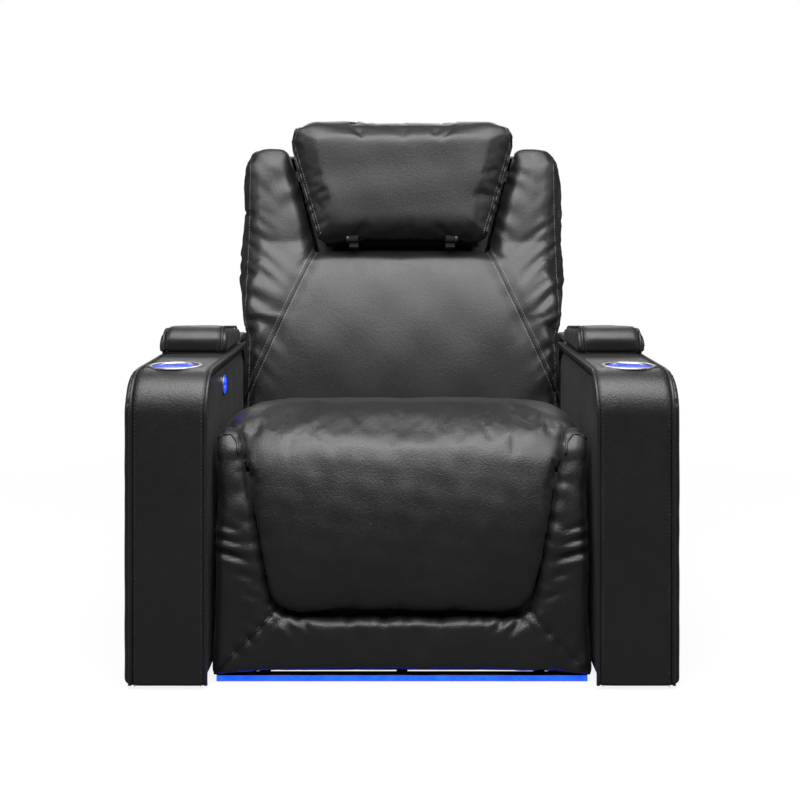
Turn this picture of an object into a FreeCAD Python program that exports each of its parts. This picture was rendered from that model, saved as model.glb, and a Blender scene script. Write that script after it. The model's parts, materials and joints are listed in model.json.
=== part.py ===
"""Powered cinema recliner seat: box arms with cup wells and storage, chaise footrest,
leaning back with wings, and a tilting headrest.

Frame: +Z up, the front faces -Y, +X to the right, origin on the floor at the centre of the
bounding box. All sizes are in millimetres.
"""
import FreeCAD, Part
import os
import re
import Sketcher

from FreeCAD import Placement, Rotation, Vector

OUT_DIR = "parts"

# Driving dimensions. "depth" sizes are measured backwards from the front of the arms.
SIZES = {
    # overall
    "between_arms": 692, "overall_depth": 900, "overall_height": 1057,
    # arms
    "arm_width": 149, "arm_height": 558, "back_overhang": 140, "arm_floor_gap": 8,
    "arm_front_radius": 75, "arm_rear_radius": 20, "arm_edge_radius": 9, "inner_pad_thick": 22,
    "inner_pad_length": 520,
    "inner_pad_radius": 45, "outer_pad_thick": 15, "wrap_thick": 14, "arm_board": 9,
    "foot_radius": 20, "foot_inset": 60,
    # cup holders
    "cup_centre_depth": 106, "cup_flange_radius": 53, "cup_bore_radius": 41.5, "cup_wall": 1,
    "cup_depth": 72, "cup_flange_thick": 2.5, "cup_light_height": 4, "cup_light_thick": 2.5,
    # storage bins and lids
    "lid_front_depth": 285, "lid_length": 215, "lid_width": 141, "lid_thick": 55, "lid_board": 9,
    "lid_gap": 1.5, "lid_nose_radius": 24, "lid_hinge_radius": 4, "lid_hinge_width": 50,
    "bin_length": 150, "bin_width": 80, "bin_drop": 130, "bin_wall": 2, "bin_rim": 5,
    # control on the left arm
    "control_depth": 210, "control_drop": 48, "control_radius": 20, "control_proud": 2,
    "button_radius": 5.5, "button_spacing": 14, "button_travel": 1.5, "control_reach": 34,
    # footrest
    "side_gap": 5, "hinge_depth": 80, "hinge_height": 395, "roll_radius": 61,
    "footrest_gap": 16, "board_thick": 15, "board_setback": 2, "bolster_depth": 32,
    "chaise_proud": 14, "chaise_border": 43, "chaise_taper": 71,
    "chaise_bottom_height": 117, "chaise_corner": 40, "hinge_pin_radius": 8,
    # drive of the footrest
    "drive_drop": 195, "drive_setback": 240, "crank_length": 65, "crank_angle": -60,
    "tube_radius": 10, "link_pin_radius": 5, "link_boss_radius": 11,
    # seat
    "seat_front_top": 463, "seat_crown": 480, "seat_crown_depth": 190,
    # base frame and mechanism
    "rail_low": 40, "rail_size": 40, "plate_thick": 5, "plate_setback": 34, "plate_top": 335,
    "layer_gap": 2, "link_thick": 6, "seat_rail": 30, "spring_wire": 3.8, "spring_pitch": 44,
    "spring_swing": 40, "spring_spacing": 130,
    # back
    "back_lean": 12, "back_pivot_height": 250, "back_front": 157, "back_rear": 102,
    "back_side_gap": 8, "back_flare": 26, "flare_low": 290, "flare_high": 330,
    "back_top": 737, "back_bottom": -40, "cushion_low": 60, "cushion_thick": 104,
    "wing_seam_low": 148, "shell_wall": 12, "shell_round": 40, "wing_corner": 55,
    "back_tube": 25, "back_tube_setback": 17,
    "rear_panel_low": 25, "rear_panel_top": 170, "rear_panel_thick": 12, "rear_panel_setback": 18,
    # headrest
    "pillow_low": 505, "pillow_round": 60, "pillow_taper": 66, "pillow_side": 102,
    "pillow_proud": 48, "pillow_rear": 62, "headrest_board": 10, "headrest_pivot_rise": 8,
    "knuckle_radius": 9, "knuckle_place": 100, "knuckle_width": 20,
    # clearances
    "seam_gap": 1, "soft_gap": 2, "touch_gap": 0.3, "pin_gap": 0.05, "swing_gap": 4, "roll_gap": 2.5,
}

# Sizes worked out from the driving ones, written once each and used by name.
DERIVED = {
    "front": "-overall_depth / 2",
    "arm_in": "between_arms / 2",
    "half": "arm_in + arm_width",
    "frame_in": "arm_in + inner_pad_thick",
    "frame_out": "half - outer_pad_thick",
    "arm_mid": "half - arm_width / 2",
    "arm_rear": "overall_depth / 2 - back_overhang",
    "pad_rear": "front + inner_pad_length",
    "frame_top": "arm_height - wrap_thick",
    "cup_y": "front + cup_centre_depth",
    "control_height": "arm_height - control_drop",
    "footrest_half_width": "arm_in - side_gap",
    "seat_half_width": "arm_in - side_gap",
    "chaise_top_half": "footrest_half_width - chaise_border",
    "chaise_bottom_half": "chaise_top_half - chaise_taper",
    "plate_inner": "arm_in - plate_setback",
    "back_lower_half": "arm_in - back_side_gap",
    "back_upper_half": "back_lower_half + back_flare",
    "back_tube_half": "plate_inner - back_tube_setback",
    "pillow_top_half": "back_upper_half - pillow_side",
    "pillow_bottom_half": "pillow_top_half - pillow_taper",
    "lid_front": "front + lid_front_depth",
    "lid_rear": "lid_front + lid_length",
    "lid_low": "arm_height + lid_gap",
    "lid_axis_y": "lid_rear - lid_hinge_radius - 1",
    "lid_axis_z": "lid_low + lid_hinge_radius + 1",
    "bin_front": "lid_front + 24",
    "bin_rear": "bin_front + bin_length",
    "hinge_y": "front + hinge_depth",
    "foot_front": "front + bolster_depth",
    "chaise_front": "front + bolster_depth - chaise_proud",
    "board_rear": "hinge_y - board_setback",
    "board_front": "board_rear - board_thick",
    "board_top": "hinge_height - 25",
    "drive_y": "hinge_y + drive_setback",
    "drive_z": "hinge_height - drive_drop",
    "crank_dy": "crank_length * cos(crank_angle)",
    "crank_dz": "crank_length * sin(crank_angle)",
    "rail_top": "rail_low + rail_size",
    "rear_rail": "pad_rear + 6",
    "link_out": "plate_inner - layer_gap - 4",
    "link_in": "link_out - link_thick",
    "rod_out": "link_in - layer_gap",
    "rod_in": "rod_out - link_thick",
    "frame_half": "rod_in - 4",
    "pivot_y": "overall_depth / 2 - (back_rear - shell_round) * cos(back_lean)"
               " - (back_top - shell_round) * sin(back_lean) - shell_round",
    "pivot_z": "back_pivot_height",
    "seat_bottom": "plate_top + spring_wire + touch_gap",
    "seat_rear": "pivot_y - back_front * cos(back_lean) - soft_gap"
                 " + (seat_bottom - pivot_z - back_front * sin(back_lean)) * tan(back_lean)",
    "cushion_rear": "-back_front + cushion_thick",
    "tube_front": "cushion_rear + touch_gap",
    "head_y": "-back_front + 2",
    "head_z": "pillow_low + headrest_pivot_rise",
    "pillow_front": "head_y - pillow_proud",
    "pillow_high": "pillow_round + (overall_height - pivot_z - pillow_round"
                   " + (pillow_front + pillow_round) * sin(back_lean)) / cos(back_lean)",
}

doc = FreeCAD.newDocument("cinema_recliner")
sheet = doc.addObject("Spreadsheet::Sheet", "Sizes")
for row, (alias, number) in enumerate(SIZES.items(), start=1):
    sheet.set(f"A{row}", alias)
    sheet.set(f"B{row}", str(number))
    sheet.setAlias(f"B{row}", alias)
doc.recompute()

WORD = re.compile(r"[a-z_]+[a-z0-9_]*")
FUNCTIONS = {"sin", "cos", "tan", "sqrt"}


def formula(text):
    """Turns a formula on named sizes into one on the sheet's cells."""
    def cell(match):
        word = match.group(0)
        if word in FUNCTIONS:
            return word
        if word in DERIVED:
            return "(" + formula(DERIVED[word]) + ")"
        return "Sizes." + word
    return WORD.sub(cell, str(text))


def value(text):
    """The number that a formula on named sizes gives."""
    result = sheet.evalExpression(formula(text))
    return float(getattr(result, "Value", result))


def bind(thing, prop, text):
    """Ties one property of an object to the sheet."""
    thing.setExpression(prop, formula(text))


nodes = []


def keep(thing, label):
    """Marks an object as a sub-part of its own, under the name of its file."""
    thing.Label = label
    nodes.append(thing)
    return thing


def mirrored(span, side):
    """The x span of a piece of the right side, or of its twin on the left."""
    low, high = span
    return (low, high) if side > 0 else (f"-({high})", f"-({low})")


def block(x_span, y_span, z_span):
    """A box between two formulas on each axis."""
    box = doc.addObject("Part::Box", "Block")
    for prop, (low, high) in zip(("Length", "Width", "Height"), (x_span, y_span, z_span)):
        bind(box, prop, f"({high}) - ({low})")
    for axis, (low, _) in zip("xyz", (x_span, y_span, z_span)):
        bind(box, f"Placement.Base.{axis}", low)
    return box


AXIS_TURN = {
    "x": Rotation(Vector(0, 1, 0), 90),
    "y": Rotation(Vector(1, 0, 0), -90),
    "z": Rotation(),
}


def rod(axis, centre, radius, start, end):
    """A cylinder along one axis; centre holds its other two coordinates, in axis order."""
    bar = doc.addObject("Part::Cylinder", "Rod")
    bar.Placement = Placement(Vector(), AXIS_TURN[axis])
    bind(bar, "Radius", radius)
    bind(bar, "Height", f"({end}) - ({start})")
    others = iter(centre)
    for name in "xyz":
        bind(bar, f"Placement.Base.{name}", start if name == axis else next(others))
    return bar


def fuse(things):
    """One solid, or one group of separate solids, out of several objects."""
    if len(things) == 1:
        return things[0]
    joined = doc.addObject("Part::MultiFuse", "Fused")
    joined.Shapes = list(things)
    joined.Refine = True
    return joined


def cut(base, tools):
    """The base with the tools taken away."""
    result = doc.addObject("Part::Cut", "Cut")
    result.Base = base
    result.Tool = fuse(tools)
    result.Refine = True
    return result


PLANES = {"x": "YZ_Plane", "y": "XZ_Plane", "z": "XY_Plane"}


def origin_plane(body, role):
    """One of the body's own origin planes."""
    return next(item for item in body.Origin.OriginFeatures if item.Role == role)


def outline(body, axis, points, level):
    """A closed sketch on a plane across the axis, each corner tied to the sheet."""
    sketch = body.newObject("Sketcher::SketchObject", "Outline")
    sketch.AttachmentSupport = [(origin_plane(body, PLANES[axis]), "")]
    sketch.MapMode = "FlatFace"
    bind(sketch, "AttachmentOffset.Base.z", level)
    corners = [Vector(value(first), value(second), 0) for first, second in points]
    for place, corner in enumerate(corners):
        following = corners[(place + 1) % len(corners)]
        sketch.addGeometry(Part.LineSegment(corner, following), False)
    for place, (first, second) in enumerate(points):
        before = (place - 1) % len(points)
        sketch.addConstraint(Sketcher.Constraint("Coincident", before, 2, place, 1))
        for kind, text in (("DistanceX", first), ("DistanceY", second)):
            number = sketch.addConstraint(
                Sketcher.Constraint(kind, -1, 1, place, 1, value(text)))
            bind(sketch, f"Constraints[{number}]", text)
    return sketch


def sharp_edges(shape, axis, corners):
    """The names of the straight edges along the axis that stand on the given corners."""
    pick = {"x": lambda p: (p.y, p.z), "y": lambda p: (p.x, p.z), "z": lambda p: (p.x, p.y)}[axis]
    along = {"x": Vector(1, 0, 0), "y": Vector(0, 1, 0), "z": Vector(0, 0, 1)}[axis]
    found = []
    for number, edge in enumerate(shape.Edges, start=1):
        first, last = edge.Vertexes[0].Point, edge.Vertexes[-1].Point
        if (last - first).cross(along).Length > 1e-6:
            continue
        place = pick(first)
        if any(abs(place[0] - c[0]) + abs(place[1] - c[1]) < 1e-4 for c in corners):
            found.append(f"Edge{number}")
    return found


def add_fillet(body, edges, radius):
    """Rounds the named edges of the body's last feature."""
    base = body.Tip
    fillet = body.newObject("PartDesign::Fillet", "Round")
    fillet.Base = (base, edges)
    bind(fillet, "Radius", radius)
    body.Tip = fillet
    doc.recompute()
    return body


def prism(axis, points, span, rounds=()):
    """A padded outline between two levels on one axis. rounds lists (corner numbers, radius)."""
    low, high = span
    body = doc.addObject("PartDesign::Body", "Body")
    level = f"-({high})" if axis == "y" else low
    sketch = outline(body, axis, points, level)
    pad = body.newObject("PartDesign::Pad", "Pad")
    pad.Profile = sketch
    bind(pad, "Length", f"({high}) - ({low})")
    doc.recompute()
    for places, radius in rounds:
        corners = [(value(points[i][0]), value(points[i][1])) for i in places]
        add_fillet(body, sharp_edges(body.Tip.Shape, axis, corners), radius)
    return body


def soften(body, axis, level, radius):
    """Rounds every edge of the body's face at one level across the axis."""
    place = {"x": 0, "y": 1, "z": 2}[axis]
    height = value(level)
    names = []
    for number, edge in enumerate(body.Tip.Shape.Edges, start=1):
        ends = [v.Point[place] for v in edge.Vertexes] + [edge.CenterOfMass[place]]
        if all(abs(end - height) < 1e-4 for end in ends):
            names.append(f"Edge{number}")
    return add_fillet(body, names, radius)


def leaning(thing):
    """Stands a piece of the back, made upright about the recline pivot, at its lean."""
    thing.Placement = Placement(Vector(), Rotation(Vector(-1, 0, 0), value("back_lean")))
    bind(thing, "Placement.Base.y", "pivot_y")
    bind(thing, "Placement.Base.z", "pivot_z")
    bind(thing, "Placement.Rotation.Angle", "back_lean")
    return thing


def plate(points, span, bosses=(), holes=()):
    """A flat link across x: an outline, round bosses (y, z, radius) and holes."""
    pieces = [prism("x", points, span)] if points else []
    pieces += [rod("x", boss[:2], boss[2], *span) for boss in bosses]
    solid = fuse(pieces)
    if not holes:
        return solid
    low, high = span
    return cut(solid, [rod("x", hole[:2], hole[2], f"{low} - 1", f"{high} + 1") for hole in holes])


SIDES = (("right", 1), ("left", -1))


def both(make):
    """The same piece on the right and on the left, as one group of two solids."""
    return fuse([make(side) for _, side in SIDES])


def build_base():
    """Cross rails, mechanism side plates, bushes, feet, seat frame and springs."""
    rails = []
    for depth in ("hinge_y + 30", "drive_y - rail_size / 2", "rear_rail"):
        rails.append(block(("-frame_in", "frame_in"), (depth, f"{depth} + rail_size"),
                           ("rail_low", "rail_top")))
    keep(fuse(rails), "base_cross_rails")

    outer = [("hinge_y", "hinge_height"), ("hinge_y + 30", "hinge_height"),
             ("hinge_y + 30", "plate_top"), ("pivot_y - 150", "plate_top"),
             ("pivot_y + 14", "pivot_z + 16"), ("pivot_y + 14", "pivot_z - 16"),
             ("pivot_y - 100", "rail_top"), ("hinge_y + 30", "rail_top"), ("hinge_y", "170")]

    def side_plate(side):
        return plate(outer, mirrored(("plate_inner", "plate_inner + plate_thick"), side),
                     [("hinge_y", "hinge_height", "14"), ("pivot_y", "pivot_z", "21")],
                     [("hinge_y", "hinge_height", "hinge_pin_radius"),
                      ("pivot_y", "pivot_z", "tube_radius + 3"),
                      ("drive_y", "drive_z", "tube_radius + 3")])
    keep(both(side_plate), "mechanism_side_plates")

    def hinge_pin(side):
        return rod("x", ("hinge_y", "hinge_height"), "hinge_pin_radius",
                   *mirrored(("link_in - 1", "plate_inner + plate_thick + 3"), side))
    keep(both(hinge_pin), "footrest_hinge_pins")

    bushes = []
    for _, side in SIDES:
        for centre in (("pivot_y", "pivot_z"), ("drive_y", "drive_z")):
            span = mirrored(("plate_inner", "plate_inner + plate_thick"), side)
            bushes.append(plate(None, span, [(*centre, "tube_radius + 3")],
                                [(*centre, "tube_radius + pin_gap")]))
    keep(fuse(bushes), "shaft_bushes")

    feet = []
    for _, side in SIDES:
        x = "arm_mid" if side > 0 else "-arm_mid"
        for y in ("front + foot_inset", "arm_rear - foot_inset"):
            feet.append(rod("z", (x, y), "foot_radius", "0", "arm_floor_gap"))
    keep(fuse(feet), "glide_feet")

    def motor(centre, rail_y, x_low):
        y, z = centre
        low, high = x_low, f"{x_low} + 62"
        case = prism("x", [(f"{y} - 34", f"{z} - 30"), (f"{y} + 30", f"{z} - 30"),
                           (f"{y} + 30", f"{z} + 30"), (f"{y} - 34", f"{z} + 30")],
                     (low, high), [((0, 1, 2, 3), "12")])
        can = rod("x", (y, z), "26", high, f"{high} + 78")
        stay = prism("x", [(f"{y} - 30", f"{z} - 12"), (f"{rail_y} + 4", "rail_top"),
                           (f"{rail_y} + 34", "rail_top"), (f"{y} - 4", f"{z} - 26")],
                     (f"{low} + 26", f"{low} + 36"))
        bore = rod("x", centre, "tube_radius + pin_gap", f"{low} - 1", f"{high} + 79")
        return cut(fuse([case, can, stay]), [bore])
    keep(motor(("drive_y", "drive_z"), "(drive_y - rail_size / 2)", "60"), "footrest_gear_motor")
    keep(motor(("pivot_y", "pivot_z"), "rear_rail", "-200"), "recline_gear_motor")

    supply = prism("z", [("60", "hinge_y + 34"), ("200", "hinge_y + 34"),
                         ("200", "hinge_y + 34 + 32"), ("60", "hinge_y + 34 + 32")],
                   ("rail_top", "rail_top + 46"), [((0, 1, 2, 3), "5")])
    keep(supply, "power_supply")

    def seat_bar(span_x, span_y):
        return block(span_x, span_y, ("plate_top - seat_rail", "plate_top"))
    inner = "(frame_half - seat_rail)"
    seat_front = "hinge_y + roll_radius + 4"
    seat_back = "seat_rear - 6"
    bars = [seat_bar(mirrored((inner, "frame_half"), side), (seat_front, seat_back))
            for _, side in SIDES]
    for start in (seat_front, f"{seat_back} - seat_rail"):
        bars.append(seat_bar((f"-{inner}", inner), (start, f"{start} + seat_rail")))
    keep(fuse(bars), "seat_frame_rails")

    def seat_spacer(side):
        span = mirrored(("frame_half", "plate_inner"), side)
        pads = [rod("x", (y, "plate_top - seat_rail / 2"), "7", *span)
                for y in (f"{seat_front} + 70", f"{seat_back} - 16")]
        return fuse(pads)
    keep(both(seat_spacer), "seat_frame_bolts")
    return seat_front, seat_back


def sinuous_springs(seat_front, seat_back):
    """Zigzag seat springs: half turns joined by straight runs, hung between two rails."""
    start = value(f"{seat_front} + seat_rail / 2")
    end = value(f"{seat_back} - seat_rail / 2")
    wire = value("spring_wire") / 2
    swing = value("spring_swing") / 2
    height = value("plate_top") + wire
    turns = int((end - start) / value("spring_pitch"))
    pitch = (end - start) / turns
    bend = pitch / 2
    springs = []
    for place in (-1.5, -0.5, 0.5, 1.5):
        x = place * value("spring_spacing")
        runs = []
        side = 1
        at = start
        runs.append(Part.LineSegment(Vector(x, at, height), Vector(x + swing - bend, at, height)))
        for number in range(turns):
            outer = x + side * (swing - bend)
            first = Vector(outer, at, height)
            middle = Vector(outer + side * bend, at + bend, height)
            last = Vector(outer, at + pitch, height)
            runs.append(Part.Arc(first, middle, last))
            at += pitch
            far = x if number == turns - 1 else x - side * (swing - bend)
            runs.append(Part.LineSegment(last, Vector(far, at, height)))
            side = -side
        path = Part.Wire([run.toShape() for run in runs])
        ring = Part.Wire(Part.makeCircle(wire, Vector(x, start, height), Vector(1, 0, 0)))
        springs.append(path.makePipeShell([ring], True, False))
    feature = doc.addObject("Part::Feature", "Springs")
    feature.Shape = Part.makeCompound(springs)
    keep(feature, "seat_springs")


def build_seat():
    """Seat cushion with a crowned top and a hollow front that the footrest's roll turns in."""
    crown = "front + seat_crown_depth"
    slab = prism("x", [("hinge_y", "seat_bottom"), ("seat_rear", "seat_bottom"),
                       ("seat_rear + 12", "seat_front_top - 14"),
                       (f"{crown} + 130", "seat_crown - 6"), (crown, "seat_crown"),
                       (f"{crown} - 70", "seat_crown - 4"), ("hinge_y", "seat_front_top")],
                 ("-seat_half_width", "seat_half_width"), [((2,), "12"), ((3, 4, 5), "60")])
    hollow = rod("x", ("hinge_y", "hinge_height"), "roll_radius + roll_gap",
                 "-seat_half_width - 1", "seat_half_width + 1")
    under = block(("-seat_half_width - 1", "seat_half_width + 1"),
                  ("hinge_y - 1", "hinge_y + roll_radius"), ("seat_bottom - 1", "hinge_height"))
    keep(cut(slab, [hollow, under]), "seat_cushion")


def build_footrest():
    """Board, side brackets, bolster border and the raised chaise pad with its top roll."""
    half = "footrest_half_width"
    low = "footrest_gap"
    notch_span = ("link_in - 3", "plate_inner + plate_thick + 5")
    board = prism("y", [(f"-{half} + 10", f"{low} + 20"), (f"{half} - 10", f"{low} + 20"),
                        (f"{half} - 10", "board_top"), (f"-{half} + 10", "board_top")],
                  ("board_front", "board_rear"), [((0, 1), "20")])
    keep(board, "footrest_board")

    def bracket(side):
        span = mirrored(("link_in", "link_out"), side)
        ear = "board_rear"
        return plate([(ear, "hinge_height"), ("hinge_y + 13", "hinge_height"),
                      ("hinge_y + crank_dy + 10", "hinge_height + crank_dz + 4"),
                      ("hinge_y + crank_dy", "hinge_height + crank_dz - 10"),
                      ("hinge_y + 14", "hinge_height + crank_dz - 70"),
                      (ear, "hinge_height + crank_dz - 70")], span,
                     [("hinge_y", "hinge_height", "13"),
                      ("hinge_y + crank_dy", "hinge_height + crank_dz", "link_boss_radius")],
                     [("hinge_y", "hinge_height", "hinge_pin_radius + pin_gap"),
                      ("hinge_y + crank_dy", "hinge_height + crank_dz",
                       "link_pin_radius + pin_gap")])
    keep(both(bracket), "footrest_brackets")

    roll_top = "hinge_height + roll_radius"
    back = "hinge_y - 1"
    side_profile = [("foot_front", low), ("board_front", low), ("board_front", "board_top + 2"),
                    (back, "board_top + 2"), (back, roll_top), ("foot_front", roll_top)]

    def notches():
        cuts = []
        for _, side in SIDES:
            span = mirrored(notch_span, side)
            cuts.append(rod("x", ("hinge_y", "hinge_height"), "18", *span))
            cuts.append(block(span, ("hinge_y - 18", "hinge_y"), ("board_top", "hinge_height")))
        return cuts

    border = prism("x", side_profile, (f"-{half}", half),
                   [((5,), "hinge_y - foot_front - 2"), ((0,), "10")])
    inside = [(f"-chaise_top_half - seam_gap", f"{roll_top} + 1"),
              ("-chaise_bottom_half - seam_gap", "chaise_bottom_height - seam_gap"),
              ("chaise_bottom_half + seam_gap", "chaise_bottom_height - seam_gap"),
              ("chaise_top_half + seam_gap", f"{roll_top} + 1")]
    window = prism("y", inside, ("foot_front - 2", "hinge_y + 1"), [((1, 2), "chaise_corner")])
    keep(cut(border, [window] + notches()), "footrest_bolster")

    chaise_profile = [("chaise_front", "chaise_bottom_height"),
                      ("board_front", "chaise_bottom_height"), ("board_front", "board_top + 2"),
                      (back, "board_top + 2"), (back, roll_top), ("chaise_front", roll_top)]
    slab = prism("x", chaise_profile, ("-chaise_top_half", "chaise_top_half"),
                 [((5,), "hinge_y - chaise_front - 3"), ((0,), "12")])
    shape = [("-chaise_top_half", f"{roll_top} + 1"), ("-chaise_bottom_half", "chaise_bottom_height"),
             ("chaise_bottom_half", "chaise_bottom_height"), ("chaise_top_half", f"{roll_top} + 1")]
    keep_zone = prism("y", shape, ("chaise_front - 2", "hinge_y + 1"), [((1, 2), "chaise_corner")])
    common = doc.addObject("Part::MultiCommon", "Chaise")
    common.Shapes = [slab, keep_zone]
    keep(common, "chaise_pad")


def build_drive():
    """Drive tube with two cranks, and the push rods that carry its turn to the footrest."""
    crank_y = "drive_y + crank_dy"
    crank_z = "drive_z + crank_dz"
    cranks = []
    for _, side in SIDES:
        span = mirrored(("link_in", "link_out"), side)
        cranks.append(plate([("drive_y + 10", "drive_z + 6"), (f"{crank_y} + 8", f"{crank_z} + 5"),
                             (f"{crank_y} - 8", f"{crank_z} - 5"), ("drive_y - 10", "drive_z - 6")],
                            span, [("drive_y", "drive_z", "18"), (crank_y, crank_z, "link_boss_radius")]))
    tube = rod("x", ("drive_y", "drive_z"), "tube_radius", "-plate_inner - plate_thick - 2",
               "plate_inner + plate_thick + 2")
    pins = [rod("x", (crank_y, crank_z), "link_pin_radius",
                *mirrored(("rod_in - 2", "link_in"), side)) for _, side in SIDES]
    keep(fuse([tube] + cranks + pins), "drive_tube")

    rods = []
    for _, side in SIDES:
        span = mirrored(("rod_in", "rod_out"), side)
        end_y = "hinge_y + crank_dy"
        end_z = "hinge_height + crank_dz"
        bar = plate([(f"{crank_y} + 6", f"{crank_z} + 7"), (f"{end_y} + 6", f"{end_z} + 7"),
                     (f"{end_y} - 6", f"{end_z} - 7"), (f"{crank_y} - 6", f"{crank_z} - 7")],
                    span, [(crank_y, crank_z, "link_boss_radius"), (end_y, end_z, "link_boss_radius")],
                    [(crank_y, crank_z, "link_pin_radius + pin_gap")])
        pin = rod("x", (end_y, end_z), "link_pin_radius", *mirrored(("rod_in", "link_out + 2"), side))
        rods.append(fuse([bar, pin]))
    keep(fuse(rods), "push_rods")


def build_arm(name, side):
    """One arm: hollow frame, wrap, pads, cup holder with its light, bin, and lid."""
    def span(low, high):
        return mirrored((low, high), side)
    mid = "arm_mid" if side > 0 else "-arm_mid"
    frame_mid = "(frame_in + frame_out) / 2"
    cup_x = mid
    bin_x = (f"{frame_mid} - bin_width / 2", f"{frame_mid} + bin_width / 2")

    frame_rear = "arm_rear - wrap_thick"
    box = block(span("frame_in", "frame_out"), ("front + wrap_thick", frame_rear),
                ("arm_floor_gap", "frame_top"))
    hollow = block(span("frame_in + arm_board", "frame_out - arm_board"),
                   ("front + wrap_thick + arm_board", f"{frame_rear} - arm_board"),
                   ("arm_floor_gap + arm_board", "frame_top - arm_board"))
    cup_hole = rod("z", (cup_x, "cup_y"), "cup_bore_radius + cup_wall + 0.3",
                   "frame_top - arm_board - 1", "arm_height + 1")
    bin_hole = block(span(*bin_x), ("bin_front", "bin_rear"),
                     ("frame_top - arm_board - 1", "arm_height + 1"))
    nose = block(span("frame_in - 1", "frame_out + 1"), ("front", "front + arm_front_radius"),
                 ("arm_height - arm_front_radius", "arm_height"))
    nose_keep = rod("x", ("front + arm_front_radius", "arm_height - arm_front_radius"),
                    "arm_front_radius - wrap_thick", *span("frame_in - 2", "frame_out + 2"))
    tools = [hollow, cup_hole, bin_hole, cut(nose, [nose_keep])]
    if side < 0:
        tools.append(rod("x", ("front + control_depth", "control_height"), "control_radius - 4",
                         *span("frame_in - 1", "frame_in + arm_board + 1")))
    keep(cut(box, tools), f"{name}_arm_frame")

    strip = prism("x", [("front", "arm_floor_gap"), ("front + wrap_thick", "arm_floor_gap"),
                        ("front + wrap_thick", "arm_height - arm_front_radius"),
                        ("front + arm_front_radius", "frame_top"), (frame_rear, "frame_top"),
                        (frame_rear, "arm_floor_gap"), ("arm_rear", "arm_floor_gap"),
                        ("arm_rear", "arm_height"), ("front", "arm_height")],
                  span("arm_in + 3", "frame_out"),
                  [((8,), "arm_front_radius"), ((7,), "arm_rear_radius")])
    wrap_tools = [cup_hole, bin_hole,
                  rod("x", ("front + arm_front_radius", "arm_height - arm_front_radius"),
                      "arm_front_radius - wrap_thick", *span("arm_in", "frame_out + 1")),
                  block(span("arm_in - 1", "frame_in"), ("pad_rear", "arm_rear + 1"),
                        ("arm_floor_gap - 1", "arm_height + 1"))]
    keep(cut(strip, wrap_tools), f"{name}_arm_wrap")

    inner = prism("x", [("front + wrap_thick", "arm_floor_gap"), ("pad_rear", "arm_floor_gap"),
                        ("pad_rear", "frame_top"), ("front + wrap_thick", "frame_top")],
                  span("arm_in", "frame_in"),
                  [((2,), "inner_pad_radius"), ((3,), "arm_front_radius - wrap_thick")])
    rail_slots = [block(span("arm_in - 1", "frame_in + 1"),
                        (f"{depth} - 2", f"{depth} + rail_size + 2"), ("rail_low - 2", "rail_top + 2"))
                  for depth in ("hinge_y + 30", "(drive_y - rail_size / 2)")]
    if side < 0:
        rail_slots.append(rod("x", ("front + control_depth", "control_height"), "control_radius - 4",
                              *span("arm_in - 1", "frame_in + 1")))
    keep(cut(inner, rail_slots), f"{name}_arm_inner_pad")

    outer = prism("x", [("front", "arm_floor_gap"), ("arm_rear", "arm_floor_gap"),
                        ("arm_rear", "arm_height"), ("front", "arm_height")],
                  span("frame_out", "half"),
                  [((3,), "arm_front_radius"), ((2,), "arm_rear_radius")])
    soften(outer, "x", "half" if side > 0 else "-half", "arm_edge_radius")
    keep(outer, f"{name}_arm_outer_pad")

    flange = rod("z", (cup_x, "cup_y"), "cup_flange_radius", "arm_height",
                 "arm_height + cup_flange_thick")
    cup = rod("z", (cup_x, "cup_y"), "cup_bore_radius + cup_wall", "arm_height - cup_depth",
              "arm_height + 1")
    well = rod("z", (cup_x, "cup_y"), "cup_bore_radius", "arm_height - cup_depth + cup_wall",
               "arm_height + cup_flange_thick + 1")
    keep(cut(fuse([flange, cup]), [well]), f"{name}_cup_holder")
    ring_low = "arm_height - 10"
    ring = rod("z", (cup_x, "cup_y"), "cup_bore_radius", ring_low, f"{ring_low} + cup_light_height")
    clear = rod("z", (cup_x, "cup_y"), "cup_bore_radius - cup_light_thick", f"{ring_low} - 1",
                f"{ring_low} + cup_light_height + 1")
    keep(cut(ring, [clear]), f"{name}_cup_light")

    rim = block(span(f"{bin_x[0]} - bin_rim", f"{bin_x[1]} + bin_rim"),
                ("bin_front - bin_rim", "bin_rear + bin_rim"), ("arm_height", "arm_height + 1"))
    tub = block(span(f"{bin_x[0]} + 0.3", f"{bin_x[1]} - 0.3"), ("bin_front + 0.3", "bin_rear - 0.3"),
                ("arm_height - bin_drop", "arm_height"))
    space = block(span(f"{bin_x[0]} + bin_wall", f"{bin_x[1]} - bin_wall"),
                  ("bin_front + bin_wall", "bin_rear - bin_wall"),
                  ("arm_height - bin_drop + bin_wall", "arm_height + 2"))
    keep(cut(fuse([rim, tub]), [space]), f"{name}_storage_bin")
    build_lid(name, side)


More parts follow.
